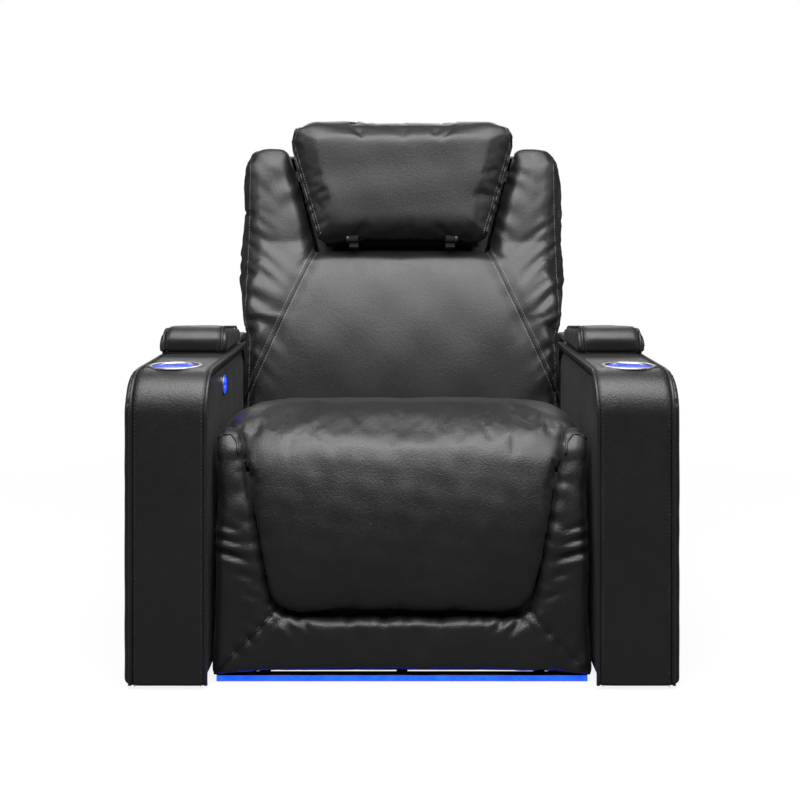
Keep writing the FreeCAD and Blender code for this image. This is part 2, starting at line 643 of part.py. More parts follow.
def build_lid(name, side):
    """Hinged armrest lid: plywood board, padded top and a rear hinge."""
    def span(low, high):
        return mirrored((low, high), side)
    lid_in = "arm_mid - lid_width / 2"
    lid_out = "arm_mid + lid_width / 2"
    axis = ("lid_axis_y", "lid_axis_z")
    half_width = "lid_hinge_width / 2"
    gap_low, gap_high = f"arm_mid - {half_width} - 1", f"arm_mid + {half_width} + 1"
    clear = block(span(gap_low, gap_high), ("lid_axis_y - 8", "lid_rear + 1"),
                  ("lid_low - 1", "lid_low + 11"))
    board = block(span(f"{lid_in} + 8", f"{lid_out} - 8"), ("lid_front + 10", "lid_rear - 8"),
                  ("lid_low", "lid_low + lid_board"))
    keep(cut(board, [clear]), f"{name}_lid_board")
    pad = prism("x", [("lid_front", "lid_low"), ("lid_rear", "lid_low"),
                      ("lid_rear", "lid_low + lid_thick"), ("lid_front", "lid_low + lid_thick")],
                span(lid_in, lid_out),
                [((3,), "lid_nose_radius"), ((2,), "20"), ((0,), "12"), ((1,), "3")])
    pocket = block(span(f"{lid_in} + 8", f"{lid_out} - 8"), ("lid_front + 10", "lid_rear - 8"),
                   ("lid_low - 1", "lid_low + lid_board"))
    keep(cut(pad, [pocket, clear]), f"{name}_lid_pad")
    pin = rod("x", axis, "lid_hinge_radius / 2", *span(f"arm_mid - {half_width}",
                                                       f"arm_mid + {half_width}"))
    post = block(span("arm_mid - 8", "arm_mid + 8"), ("lid_axis_y - 3", "lid_axis_y + 3"),
                 ("arm_height", "lid_axis_z"))
    keep(fuse([pin, post]), f"{name}_lid_hinge_post")
    knuckles = []
    for low, high in ((f"arm_mid - {half_width}", "arm_mid - 8.5"),
                      ("arm_mid + 8.5", f"arm_mid + {half_width}")):
        barrel = rod("x", axis, "lid_hinge_radius", *span(low, high))
        leaf = block(span(low, high), ("lid_axis_y - 8", "lid_axis_y"),
                     ("lid_axis_z + 1", "lid_axis_z + 4"))
        hole = rod("x", axis, "lid_hinge_radius / 2 + pin_gap", *span(f"{low} - 1", f"{high} + 1"))
        knuckles.append(cut(fuse([barrel, leaf]), [hole]))
    keep(fuse(knuckles), f"{name}_lid_hinge_leaf")


def build_control():
    """Round two-button control let into the inner face of the left arm."""
    y = "front + control_depth"
    z = "control_height"
    face = "-arm_in"
    disc = rod("x", (y, z), "control_radius", face, f"{face} + control_proud")
    housing = rod("x", (y, z), "control_radius - 5", f"{face} - control_reach", face)
    buttons = [f"{z} + button_spacing / 2", f"{z} - button_spacing / 2"]
    bores = [rod("x", (y, place), "button_radius + 0.2", f"{face} - 10", f"{face} + control_proud + 1")
             for place in buttons]
    groove = cut(rod("x", (y, z), "control_radius - 3", f"{face} + control_proud - 1",
                     f"{face} + control_proud + 1"),
                 [rod("x", (y, z), "control_radius - 5", f"{face} + control_proud - 2",
                      f"{face} + control_proud + 2")])
    keep(cut(fuse([disc, housing]), bores + [groove]), "control_bezel")
    ring = rod("x", (y, z), "control_radius - 3", f"{face} + control_proud - 1",
               f"{face} + control_proud - 0.2")
    keep(cut(ring, [rod("x", (y, z), "control_radius - 5", f"{face}", f"{face} + 3")]),
         "control_light")
    for label, place in zip(("recline_button", "return_button"), buttons):
        stem = rod("x", (y, place), "button_radius", f"{face} - 10 + button_travel + 0.3",
                   f"{face} + control_proud + 1.8")
        keep(stem, label)


def build_under_light():
    """Light strip in an aluminium channel under the footrest, on stays from the front rail."""
    reach = "(footrest_half_width - 8)"
    rail = "hinge_y + 30"
    low, high = "1.5", "footrest_gap - 4"
    near = "foot_front + 4"
    body = block((f"-{reach}", reach), (near, f"{near} + 20"), (low, high))
    slot = block((f"-{reach} - 1", f"{reach} + 1"), (f"{near} - 1", f"{near} + 14"),
                 (f"{low} + 1.2", f"{high} - 1.2"))
    keep(cut(body, [slot]), "under_light_channel")
    keep(block((f"-{reach}", reach), (f"{near} - 0.5", f"{near} + 13"),
               (f"{low} + 1.4", f"{high} - 1.4")), "under_light_strip")
    stays = []
    for x in ("-250", "0", "250"):
        stays.append(prism("x", [(f"{near} + 20", "4"), (f"{rail} + 20", "4"),
                                 (f"{rail} + 20", "rail_low"), (f"{rail} + 12", "rail_low"),
                                 (f"{rail} + 12", "8"), (f"{near} + 20", "8")],
                           (f"{x} - 10", f"{x} + 10")))
    keep(fuse(stays), "under_light_stays")


def build_back():
    """Back frame, brackets, torque shaft, webbing, cushions, wings, shell and lower panel."""
    tube = "back_tube"
    inner = f"(back_tube_half - {tube})"
    y_span = ("tube_front", f"tube_front + {tube}")
    tubes = [block(mirrored((inner, "back_tube_half"), side), y_span, ("24", "back_top - 40"))
             for _, side in SIDES]
    for z in ("56", "flare_high", "pillow_low - 60", f"back_top - 40 - {tube}"):
        tubes.append(block((f"-{inner}", inner), y_span, (z, f"{z} + {tube}")))
    keep(leaning(fuse(tubes)), "back_frame_tubes")

    def bracket(side):
        span = mirrored(("back_tube_half", "back_tube_half + plate_thick"), side)
        return plate([("tube_front", "150"), (f"tube_front + {tube}", "150"),
                      ("18", "10"), ("18", "-12"), ("-18", "-12"), ("tube_front", "30")],
                     span, [("0", "0", "20")])
    shaft = rod("x", ("0", "0"), "tube_radius", "-plate_inner - plate_thick - 2",
                "plate_inner + plate_thick + 2")
    keep(leaning(fuse([bracket(1), bracket(-1), shaft])), "back_hinge_brackets")

    straps = []
    for place in range(3):
        z = f"120 + {place} * 62"
        straps.append(block((f"-{inner}", inner), ("tube_front + 2", "tube_front + 5"),
                            (z, f"{z} + 40")))
    keep(leaning(fuse(straps)), "back_webbing")

    panel = prism("y", [("-pillow_bottom_half + 2", "pillow_low - 6"),
                        ("pillow_bottom_half - 2", "pillow_low - 6"),
                        ("pillow_top_half - 2", "back_top - 6"),
                        ("-pillow_top_half + 2", "back_top - 6")],
                  ("tube_front - 10", "tube_front"))
    slots = [block(mirrored(("knuckle_place - 2", "knuckle_place + knuckle_width + 2"), side),
                   ("tube_front - 11", "tube_front + 1"), ("pillow_low - 16", "pillow_low + 2"))
             for _, side in SIDES]
    keep(leaning(cut(panel, slots)), "headrest_rest_panel")

    low, seam = "cushion_low", "wing_seam_low"
    centre = prism("y", [("-back_lower_half", low), ("back_lower_half", low),
                         ("back_lower_half", f"{seam} - seam_gap"),
                         ("pillow_bottom_half - 2", "pillow_low - 14"),
                         ("-pillow_bottom_half + 2", "pillow_low - 14"),
                         ("-back_lower_half", f"{seam} - seam_gap")],
                   ("-back_front", "cushion_rear"), [((0, 1), "20")])
    soften(centre, "y", "-back_front", "14")
    keep(leaning(centre), "back_centre_cushion")

    for name, side in SIDES:
        sign = "" if side > 0 else "-"
        points = [(f"{sign}(back_lower_half)", seam), (f"{sign}(back_lower_half)", "flare_low"),
                  (f"{sign}(back_upper_half)", "flare_high"), (f"{sign}(back_upper_half)", "back_top"),
                  (f"{sign}(pillow_top_half + swing_gap)", "back_top"),
                  (f"{sign}(pillow_bottom_half + swing_gap)", "pillow_low - 8")]
        wing = prism("y", points, ("-back_front", "cushion_rear"),
                     [((3,), "wing_corner"), ((1, 2), "30"), ((4,), "12")])
        soften(wing, "y", "-back_front", "16")
        keep(leaning(wing), f"{name}_back_wing")

    def shell_outline(inset):
        edge = f" - {inset}" if inset != "0" else ""
        bottom = "back_bottom" if inset == "0" else "back_bottom - 1"
        return [(f"-(back_lower_half{edge})", bottom), (f"back_lower_half{edge}", bottom),
                (f"back_lower_half{edge}", "flare_low"), (f"back_upper_half{edge}", "flare_high"),
                (f"back_upper_half{edge}", f"back_top{edge}"),
                (f"-(back_upper_half{edge})", f"back_top{edge}"),
                (f"-(back_upper_half{edge})", "flare_high"),
                (f"-(back_lower_half{edge})", "flare_low")]
    shell = prism("y", shell_outline("0"), ("tube_front", "back_rear"),
                  [((4, 5), "wing_corner"), ((2, 3, 6, 7), "30")])
    soften_top(shell)
    hollow = prism("y", shell_outline("shell_wall"), ("tube_front - 1", "back_rear - shell_wall"),
                   [((4, 5), "wing_corner - shell_wall")])
    relief = block(("-back_lower_half + 2", "back_lower_half - 2"),
                   ("tube_front - 1", "34"), ("back_bottom - 1", "60"))
    notch = [block(mirrored(("plate_inner - 3", "back_lower_half + 1"), side),
                   ("tube_front - 1", "36"), ("back_bottom - 1", "110")) for _, side in SIDES]
    keep(leaning(cut(shell, [hollow, relief] + notch)), "back_shell")

    panel_rear = "arm_rear - rear_panel_setback"
    panel = block(("-frame_in", "frame_in"), (f"{panel_rear} - rear_panel_thick", panel_rear),
                  ("rear_panel_low", "rear_panel_top"))
    keep(panel, "rear_base_panel")


def soften_top(body):
    """Rounds the rear edges of the back shell, all but its open bottom one."""
    rear = value("back_rear")
    low = value("back_bottom")
    names = []
    for number, edge in enumerate(body.Tip.Shape.Edges, start=1):
        points = [v.Point for v in edge.Vertexes] + [edge.CenterOfMass]
        if all(abs(p.y - rear) < 1e-4 for p in points) and any(p.z > low + 1 for p in points):
            names.append(f"Edge{number}")
    return add_fillet(body, names, "shell_round")


def build_headrest():
    """Tilting headrest: board with side arms on a pivot under the pillow's front."""
    rear = "(-back_front + pillow_rear)"
    pillow_profile = [("pillow_front + 6", "pillow_low"), (rear, "pillow_low"),
                      (rear, "pillow_high"), ("pillow_front", "pillow_high")]
    slab = prism("x", pillow_profile, ("-pillow_top_half", "pillow_top_half"),
                 [((0,), "26"), ((2,), "45"), ((3,), "pillow_round")])
    outline_points = [("-pillow_bottom_half", "pillow_low - 1"), ("pillow_bottom_half", "pillow_low - 1"),
                      ("pillow_top_half", "pillow_high - 45"), ("pillow_top_half - 12", "pillow_high + 1"),
                      ("-pillow_top_half + 12", "pillow_high + 1"),
                      ("-pillow_top_half", "pillow_high - 45")]
    zone = prism("y", outline_points, ("pillow_front - 2", f"{rear} + 1"),
                 [((0, 1), "24"), ((3, 4), "30")])
    common = doc.addObject("Part::MultiCommon", "Pillow")
    common.Shapes = [slab, zone]
    slots = [block(mirrored(("knuckle_place - 4", "knuckle_place + knuckle_width + 12"), side),
                   ("head_y - knuckle_radius - 4", f"{rear} + 2"),
                   ("pillow_low - 2", "head_z + knuckle_radius + 4")) for _, side in SIDES]
    keep(leaning(cut(common, slots)), "headrest_pillow")

    board = prism("y", [("-pillow_bottom_half + 20", "pillow_low + 4"),
                        ("pillow_bottom_half - 20", "pillow_low + 4"),
                        ("pillow_top_half - 40", "pillow_high - 80"),
                        ("-pillow_top_half + 40", "pillow_high - 80")],
                  (rear, f"{rear} + headrest_board"))

    def arm(side):
        span = mirrored(("knuckle_place + knuckle_width + 1",
                         "knuckle_place + knuckle_width + 6"), side)
        return plate([("head_y", "head_z - 7"), (rear, "head_z - 7"), (rear, "head_z + 8"),
                      ("head_y", "head_z + 8")], span, [("head_y", "head_z", "knuckle_radius")],
                     [("head_y", "head_z", "link_pin_radius + pin_gap")])
    keep(leaning(fuse([board, arm(1), arm(-1)])), "headrest_frame")

    def knuckle(side):
        span = mirrored(("knuckle_place", "knuckle_place + knuckle_width"), side)
        ear = plate([("head_y", "head_z - 7"), ("head_y", "pillow_low - 11"),
                     ("tube_front", "pillow_low - 11"), ("tube_front", "pillow_low - 3"),
                     ("head_y + 18", "pillow_low - 3"), ("head_y + 6", "head_z")], span,
                    [("head_y", "head_z", "knuckle_radius")])
        foot = block(span, ("tube_front", "tube_front + 8"),
                     ("pillow_low - 60 + back_tube", "pillow_low - 3"))
        pin = rod("x", ("head_y", "head_z"), "link_pin_radius",
                  *mirrored(("knuckle_place", "knuckle_place + knuckle_width + 8"), side))
        return fuse([ear, foot, pin])
    keep(leaning(fuse([knuckle(1), knuckle(-1)])), "headrest_brackets")


def main():
    """Builds every sub-part, checks it and writes its file."""
    seat_front, seat_back = build_base()
    doc.recompute()
    sinuous_springs(seat_front, seat_back)
    build_seat()
    build_footrest()
    build_drive()
    for name, side in SIDES:
        build_arm(name, side)
    build_control()
    build_under_light()
    build_back()
    build_headrest()
    doc.recompute()

    failed = [item.Label for item in doc.Objects if {"Invalid", "Error"} & set(item.State)]
    failed += [node.Label for node in nodes if node.Shape.isNull() or not node.Shape.isValid()]
    if failed:
        raise RuntimeError("not built: " + ", ".join(sorted(set(failed))))
    os.makedirs(OUT_DIR, exist_ok=True)
    for node in nodes:
        node.Shape.exportStep(os.path.join(OUT_DIR, node.Label + ".step"))
    print(len(nodes), "sub-parts,", sum(len(node.Shape.Solids) for node in nodes), "solids")


main()
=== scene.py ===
"""Looks of a powered cinema recliner seat, built around its packed construction.

Lengths are in metres. The seat faces -Y, +Z is up, and every piece is made where the
construction has it, so a finished object stands at the origin.
"""

import json
import logging
import math
from dataclasses import dataclass
from enum import Enum
from typing import Iterable, Sequence

import bmesh
import bpy
import numpy as np
from mathutils import Matrix, Vector
from mathutils.bvhtree import BVHTree

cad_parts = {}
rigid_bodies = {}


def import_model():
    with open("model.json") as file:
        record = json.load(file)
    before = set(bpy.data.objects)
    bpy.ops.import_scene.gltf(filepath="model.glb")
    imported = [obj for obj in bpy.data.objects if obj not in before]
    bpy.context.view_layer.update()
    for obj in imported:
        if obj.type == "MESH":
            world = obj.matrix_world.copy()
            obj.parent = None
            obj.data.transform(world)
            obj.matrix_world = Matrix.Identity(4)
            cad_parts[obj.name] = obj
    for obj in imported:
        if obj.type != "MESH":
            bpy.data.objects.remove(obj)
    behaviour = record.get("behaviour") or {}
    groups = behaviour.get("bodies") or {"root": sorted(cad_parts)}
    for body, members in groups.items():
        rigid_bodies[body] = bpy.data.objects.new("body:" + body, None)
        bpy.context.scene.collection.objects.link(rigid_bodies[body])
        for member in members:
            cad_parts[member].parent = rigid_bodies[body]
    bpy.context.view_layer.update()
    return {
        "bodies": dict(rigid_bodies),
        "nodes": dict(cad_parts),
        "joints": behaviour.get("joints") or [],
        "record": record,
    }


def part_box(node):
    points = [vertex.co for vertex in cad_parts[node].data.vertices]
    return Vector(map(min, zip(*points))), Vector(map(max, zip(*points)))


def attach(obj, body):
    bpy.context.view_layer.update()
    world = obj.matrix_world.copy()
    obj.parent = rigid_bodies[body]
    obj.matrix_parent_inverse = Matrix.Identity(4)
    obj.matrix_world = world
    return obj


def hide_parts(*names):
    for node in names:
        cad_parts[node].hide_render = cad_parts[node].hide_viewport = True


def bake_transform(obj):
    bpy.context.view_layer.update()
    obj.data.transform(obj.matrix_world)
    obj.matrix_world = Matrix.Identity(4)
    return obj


LOG = logging.getLogger("recliner")
Point2 = tuple[float, float]
Array = np.ndarray


class Side(Enum):
    """The two sides of the seat, as seen from the front."""

    RIGHT = 1
    LEFT = -1

    @property
    def word(self) -> str:
        """The side's name as it stands in the nodes' names."""
        return self.name.lower()


# Shader maths

class Expr:
    """A shader socket that Python operators can work on."""

    def __init__(self, tree: "Tree", socket: bpy.types.NodeSocket) -> None:
        """Wraps an output socket of a tree's node."""
        self.tree = tree
        self.socket = socket

    def _maths(self, operation: str, *values: object) -> "Expr":
        """Adds one Math node."""
        return self.tree.add("ShaderNodeMath", {"operation": operation}, dict(enumerate(values)))

    def __add__(self, other: object) -> "Expr":
        """Sum."""
        return self._maths("ADD", self, other)

    __radd__ = __add__

    def __sub__(self, other: object) -> "Expr":
        """Difference."""
        return self._maths("SUBTRACT", self, other)

    def __rsub__(self, other: object) -> "Expr":
        """Difference from a plain number."""
        return self._maths("SUBTRACT", other, self)

    def __mul__(self, other: object) -> "Expr":
        """Product."""
        return self._maths("MULTIPLY", self, other)

    __rmul__ = __mul__

    def __truediv__(self, other: object) -> "Expr":
        """Quotient."""
        return self._maths("DIVIDE", self, other)

    def power(self, exponent: float) -> "Expr":
        """This value raised to a power."""
        return self._maths("POWER", self, exponent)

    def clamped(self, low: float, high: float) -> "Expr":
        """This value held between two limits.

        Args:
            low: The lowest value.
            high: The highest value.

        Returns:
            The held value.
        """
        return self._maths("MINIMUM", self._maths("MAXIMUM", self, low), high)


class Tree:
    """A material's node tree, with one method that adds any node."""

    def __init__(self, name: str) -> None:
        """Makes an empty material of that name with a Principled shader."""
        self.material = bpy.data.materials.new(name)
        self.material.use_nodes = True
        self.nodes = self.material.node_tree.nodes
        self.links = self.material.node_tree.links
        self.shader = self.nodes["Principled BSDF"]
        self.output = self.nodes["Material Output"]

    def add(self, kind: str, settings: dict | None = None, inputs: dict | None = None,
            output: int | str = 0) -> Expr:
        """Adds a node.

        Args:
            kind: The node's type.
            settings: Attributes that are set before the sockets.
            inputs: Values or links by socket name or number.
            output: The output socket that the result wraps.

        Returns:
            The wrapped output.
        """
        node = self.nodes.new(kind)
        for key, setting in (settings or {}).items():
            if key == "stops":
                for place, (position, colour) in enumerate(setting):
                    elements = node.color_ramp.elements
                    stop = elements[place] if place < len(elements) else elements.new(position)
                    stop.position = position
                    stop.color = colour
            else:
                setattr(node, key, setting)
        for key, item in (inputs or {}).items():
            self.feed(node.inputs[key], item)
        return Expr(self, node.outputs[output])

    def feed(self, socket: bpy.types.NodeSocket, item: object) -> None:
        """Links an expression to a socket, or sets a plain value on it."""
        if isinstance(item, Expr):
            self.links.new(item.socket, socket)
        else:
            socket.default_value = item

    def place(self, scale: tuple[float, float, float] = (1.0, 1.0, 1.0),
              turn: tuple[float, float, float] = (0.0, 0.0, 0.0)) -> Expr:
        """Object coordinates, stretched and turned.

        Args:
            scale: Stretch on each axis.
            turn: Turn about each axis, in radians.

        Returns:
            The coordinates.
        """
        coordinates = self.add("ShaderNodeTexCoord", output="Object")
        return self.add("ShaderNodeMapping", {}, {"Vector": coordinates, "Scale": scale,
                                                  "Rotation": turn})

    def noise(self, where: Expr, scale: float, detail: float = 3.0,
              roughness: float = 0.5) -> Expr:
        """Fractal noise between 0 and 1."""
        return self.add("ShaderNodeTexNoise", {}, {"Vector": where, "Scale": scale,
                                                   "Detail": detail, "Roughness": roughness})

    def mix(self, factor: object, first: Sequence[float], second: Sequence[float]) -> Expr:
        """A colour between two colours."""
        return self.add("ShaderNodeMix", {"data_type": "RGBA"},
                        {"Factor": factor, 6: (*first, 1.0), 7: (*second, 1.0)}, output=2)

    def bump(self, height: Expr, distance: float, strength: float = 1.0,
             under: Expr | None = None) -> Expr:
        """A bumped normal over an optional earlier one."""
        inputs = {"Height": height, "Distance": distance, "Strength": strength}
        if under is not None:
            inputs["Normal"] = under
        return self.add("ShaderNodeBump", {}, inputs)

    def set(self, **sockets: object) -> None:
        """Sets the shader's sockets; underscores stand for spaces."""
        for key, item in sockets.items():
            self.feed(self.shader.inputs[key.replace("_", " ")], item)


# Finishes

@dataclass(frozen=True)
class LeatherFinish:
    """Pebbled coated leather with fine creases and a soft sheen."""

    name: str = "black_leather"
    colour: tuple[float, float, float] = (0.0042, 0.0042, 0.0045)
    worn: tuple[float, float, float] = (0.0075, 0.0075, 0.0078)
    roughness: float = 0.40
    grain: float = 430.0
    grain_depth: float = 0.0006

    def make(self) -> bpy.types.Material:
        """Builds the material.

        Returns:
            The leather.
        """
        tree = Tree(self.name)
        where = tree.place()
        warp = tree.add("ShaderNodeTexNoise", {}, {"Vector": where, "Scale": 90.0, "Detail": 2.0},
                        output="Color")
        bent = tree.add("ShaderNodeVectorMath", {"operation": "MULTIPLY_ADD"},
                        {0: warp, 1: (0.004, 0.004, 0.004), 2: where})
        pebbles = tree.add("ShaderNodeTexVoronoi", {"feature": "SMOOTH_F1"},
                           {"Vector": bent, "Scale": self.grain, "Smoothness": 0.55})
        pores = tree.noise(where, self.grain * 3.1, 2.0)
        creases = tree.add("ShaderNodeTexVoronoi", {"feature": "DISTANCE_TO_EDGE"},
                           {"Vector": bent, "Scale": self.grain * 0.21})
        lines = creases.clamped(0.0, 0.09) / 0.09
        height = pebbles.power(1.6) * -0.9 + pores * 0.16 + lines * 0.32
        broad = tree.noise(where, 7.0, 3.0)
        patches = tree.noise(where, 42.0, 3.0)
        shade = (broad * 0.6 + patches * 0.4).clamped(0.3, 0.75)
        tree.set(Base_Color=tree.mix((shade - 0.3) * 1.6, self.colour, self.worn),
                 Roughness=(self.roughness - 0.10 + patches * 0.10 + pebbles * 0.16
                            + broad * 0.06),
                 Normal=tree.bump(height, self.grain_depth, 0.55,
                                  tree.bump(patches, 0.0012, 0.22)))
        tree.shader.inputs["Specular IOR Level"].default_value = 0.5
        tree.shader.inputs["Coat Weight"].default_value = 0.08
        tree.shader.inputs["Coat Roughness"].default_value = 0.32
        tree.shader.inputs["Sheen Weight"].default_value = 0.04
        return tree.material


@dataclass(frozen=True)
class ThreadFinish:
    """Twisted polyester sewing thread."""

    name: str = "grey_thread"
    colour: tuple[float, float, float] = (0.24, 0.24, 0.25)

    def make(self) -> bpy.types.Material:
        """Builds the material."""
        tree = Tree(self.name)
        twist = tree.noise(tree.place((1.0, 1.0, 1.0)), 2600.0, 1.0)
        tree.set(Base_Color=tree.mix(twist, tuple(c * 0.6 for c in self.colour), self.colour),
                 Roughness=0.5 + twist * 0.25, Normal=tree.bump(twist, 0.0002, 0.5))
        tree.shader.inputs["Sheen Weight"].default_value = 0.2
        return tree.material


@dataclass(frozen=True)
class BrushedSteelFinish:
    """Stainless steel with fine brushing."""

    name: str = "stainless"
    colour: tuple[float, float, float] = (0.62, 0.62, 0.64)
    roughness: float = 0.22

    def make(self) -> bpy.types.Material:
        """Builds the material."""
        tree = Tree(self.name)
        lines = tree.noise(tree.place((30.0, 900.0, 900.0)), 1.6, 3.0)
        marks = tree.noise(tree.place(), 60.0, 3.0)
        tree.set(Base_Color=tree.mix(marks, tuple(c * 0.85 for c in self.colour), self.colour),
                 Roughness=self.roughness + lines * 0.14 + marks * 0.05,
                 Normal=tree.bump(lines, 0.00008, 0.4))
        tree.shader.inputs["Metallic"].default_value = 1.0
        return tree.material


@dataclass(frozen=True)
class CoatedFinish:
    """Painted metal, moulded plastic or cloth: a colour with a fine texture."""

    name: str
    colour: tuple[float, float, float]
    roughness: float = 0.5
    texture: float = 900.0
    depth: float = 0.0001
    metallic: float = 0.0
    stretch: tuple[float, float, float] = (1.0, 1.0, 1.0)

    def make(self) -> bpy.types.Material:
        """Builds the material."""
        tree = Tree(self.name)
        fine = tree.noise(tree.place(self.stretch), self.texture, 3.0)
        broad = tree.noise(tree.place(self.stretch), self.texture * 0.03, 3.0)
        tree.set(Base_Color=tree.mix((fine * 0.5 + broad * 0.5).clamped(0.0, 1.0),
                                     tuple(c * 0.72 for c in self.colour), self.colour),
                 Roughness=self.roughness - 0.06 + fine * 0.08 + broad * 0.08,
                 Normal=tree.bump(fine, self.depth, 0.6))
        tree.shader.inputs["Metallic"].default_value = self.metallic
        return tree.material


@dataclass(frozen=True)
class GlowFinish:
    """A lit lens of blue light."""

    name: str = "blue_lens"
    colour: tuple[float, float, float] = (0.0, 0.006, 1.0)
    strength: float = 9.0

    def make(self) -> bpy.types.Material:
        """Builds the material."""
        tree = Tree(self.name)
        dots = tree.noise(tree.place(), 55.0, 1.0)
        tree.set(Base_Color=tree.mix(dots, (0.02, 0.06, 0.8), (0.05, 0.16, 1.0)),
                 Emission_Color=tree.mix(dots, self.colour, (0.0, 0.016, 1.0)),
                 Roughness=0.25 + dots * 0.1)
        tree.shader.inputs["Emission Strength"].default_value = self.strength
        return tree.material


class Finishes:
    """Every material of the seat, made once."""

    def __init__(self) -> None:
        """Makes all the materials."""
        self.leather = LeatherFinish().make()
        self.thread = ThreadFinish().make()
        self.dark_thread = ThreadFinish("black_thread", (0.012, 0.012, 0.013)).make()
        self.steel = BrushedSteelFinish().make()
        self.glow = GlowFinish().make()
        self.cup_glow = GlowFinish("blue_cup_lens", (0.0, 0.03, 1.0), 6.0).make()
        self.plastic = CoatedFinish("black_plastic", (0.028, 0.028, 0.03), 0.42, 1400.0, 0.00012).make()
        self.painted = CoatedFinish("black_steel", (0.03, 0.03, 0.033), 0.4, 1100.0, 0.0001,
                                    metallic=0.3).make()
        self.spring = CoatedFinish("spring_steel", (0.2, 0.2, 0.21), 0.35, 800.0, metallic=0.9).make()
        self.aluminium = CoatedFinish("anodised_aluminium", (0.5, 0.5, 0.52), 0.35, 700.0,
                                      metallic=0.9, stretch=(0.05, 1.0, 1.0)).make()
        self.cloth = CoatedFinish("bottom_cloth", (0.025, 0.025, 0.026), 0.85, 1600.0, 0.0003).make()
        # Near-black painted shade: darker than any real steel, it stands in for the shadow in the gap under
        # the headrest pillow
        self.shade = CoatedFinish("dark_steel", (0.002, 0.002, 0.002), 0.9, 900.0).make()
        self.by_slot = {
            "black_leather": self.leather, "black_steel": self.painted, "plywood": self.cloth,
            "black_plastic": self.plastic, "stainless": self.steel, "blue_lens": self.glow,
            "anodised_aluminium": self.aluminium, "spring_steel": self.spring,
            "nylon_foot": self.plastic, "webbing": self.cloth,
        }


# Mesh tools

def link(name: str, mesh: bpy.types.Mesh) -> bpy.types.Object:
    """Puts a mesh into the scene as an object of that name."""
    piece = bpy.data.objects.new(name, mesh)
    bpy.context.scene.collection.objects.link(piece)
    return piece


def points_of(piece: bpy.types.Object) -> Array:
    """The vertices of a mesh object, one row each."""
    flat = np.empty(len(piece.data.vertices) * 3)
    piece.data.vertices.foreach_get("co", flat)
    return flat.reshape(-1, 3)


def normals_of(piece: bpy.types.Object) -> Array:
    """The vertex normals of a mesh object, one row each."""
    flat = np.empty(len(piece.data.vertices) * 3)
    piece.data.vertex_normals.foreach_get("vector", flat)
    return flat.reshape(-1, 3)


def put_points(piece: bpy.types.Object, points: Array) -> None:
    """Writes vertices back to a mesh object."""
    piece.data.vertices.foreach_set("co", points.reshape(-1))
    piece.data.update()


def applied(piece: bpy.types.Object) -> bpy.types.Object:
    """Turns a piece's modifiers into plain mesh."""
    depsgraph = bpy.context.evaluated_depsgraph_get()
    depsgraph.update()
    mesh = bpy.data.meshes.new_from_object(piece.evaluated_get(depsgraph))
    old = piece.data
    piece.modifiers.clear()
    piece.data = mesh
    if old.users == 0:
        bpy.data.meshes.remove(old)
    return piece


def outward(piece: bpy.types.Object) -> bpy.types.Object:
    """Merges doubles and points every face outwards."""
    work = bmesh.new()
    work.from_mesh(piece.data)
    bmesh.ops.remove_doubles(work, verts=work.verts, dist=1e-6)
    bmesh.ops.recalc_face_normals(work, faces=work.faces)
    work.to_mesh(piece.data)
    work.free()
    return piece


def smooth(piece: bpy.types.Object) -> bpy.types.Object:
    """Shades a piece smooth all over."""
    piece.data.polygons.foreach_set("use_smooth", [True] * len(piece.data.polygons))
    return piece


def rounded(corners: Sequence[Point2], radii: Sequence[float], steps: int = 7) -> list[Point2]:
    """An outline with its corners turned into arcs.

    Args:
        corners: The sharp corners, in order.
        radii: One radius for each corner, 0 where it stays sharp.
        steps: Pieces of each arc.

    Returns:
        The outline's points.
    """
    outline: list[Point2] = []
    for place, (corner, radius) in enumerate(zip(corners, radii)):
        here = Vector(corner)
        before = (Vector(corners[place - 1]) - here).normalized()
        after = (Vector(corners[(place + 1) % len(corners)]) - here).normalized()
        if radius <= 0:
            outline.append(corner)
            continue
        half = before.angle(after) / 2
        centre = here + (before + after).normalized() * (radius / math.sin(half))
        first = here + before * (radius / math.tan(half)) - centre
        last = here + after * (radius / math.tan(half)) - centre
        for step in range(steps + 1):
            spot = centre + first.lerp(last, step / steps).normalized() * radius
            outline.append((spot.x, spot.y))
    return outline


PLANE_AXES = {"x": (1, 2, 0), "y": (0, 2, 1), "z": (0, 1, 2)}


def lift(flat: Sequence[Point2] | Array, across: str, level: float | Array) -> Array:
    """Stands flat points in space, on a plane across one axis."""
    flat = np.asarray(flat, dtype=float)
    first, second, third = PLANE_AXES[across]
    points = np.empty((len(flat), 3))
    points[:, first] = flat[:, 0]
    points[:, second] = flat[:, 1]
    points[:, third] = level
    return points


def prism(name: str, outline: Sequence[Point2], across: str, low: float,
          high: float) -> bpy.types.Object:
    """A closed slab of an outline between two levels on an axis.

    Args:
        name: The object's name.
        outline: Flat points in order.
        across: The axis that the outline lies across.
        low: The lower level.
        high: The upper level.

    Returns:
        The slab.
    """
    count = len(outline)
    points = np.vstack([lift(outline, across, low), lift(outline, across, high)])
    faces = [list(range(count)), list(range(2 * count - 1, count - 1, -1))]
    faces += [[i, (i + 1) % count, count + (i + 1) % count, count + i] for i in range(count)]
    mesh = bpy.data.meshes.new(name)
    mesh.from_pydata(points.tolist(), [], faces)
    return outward(link(name, mesh))


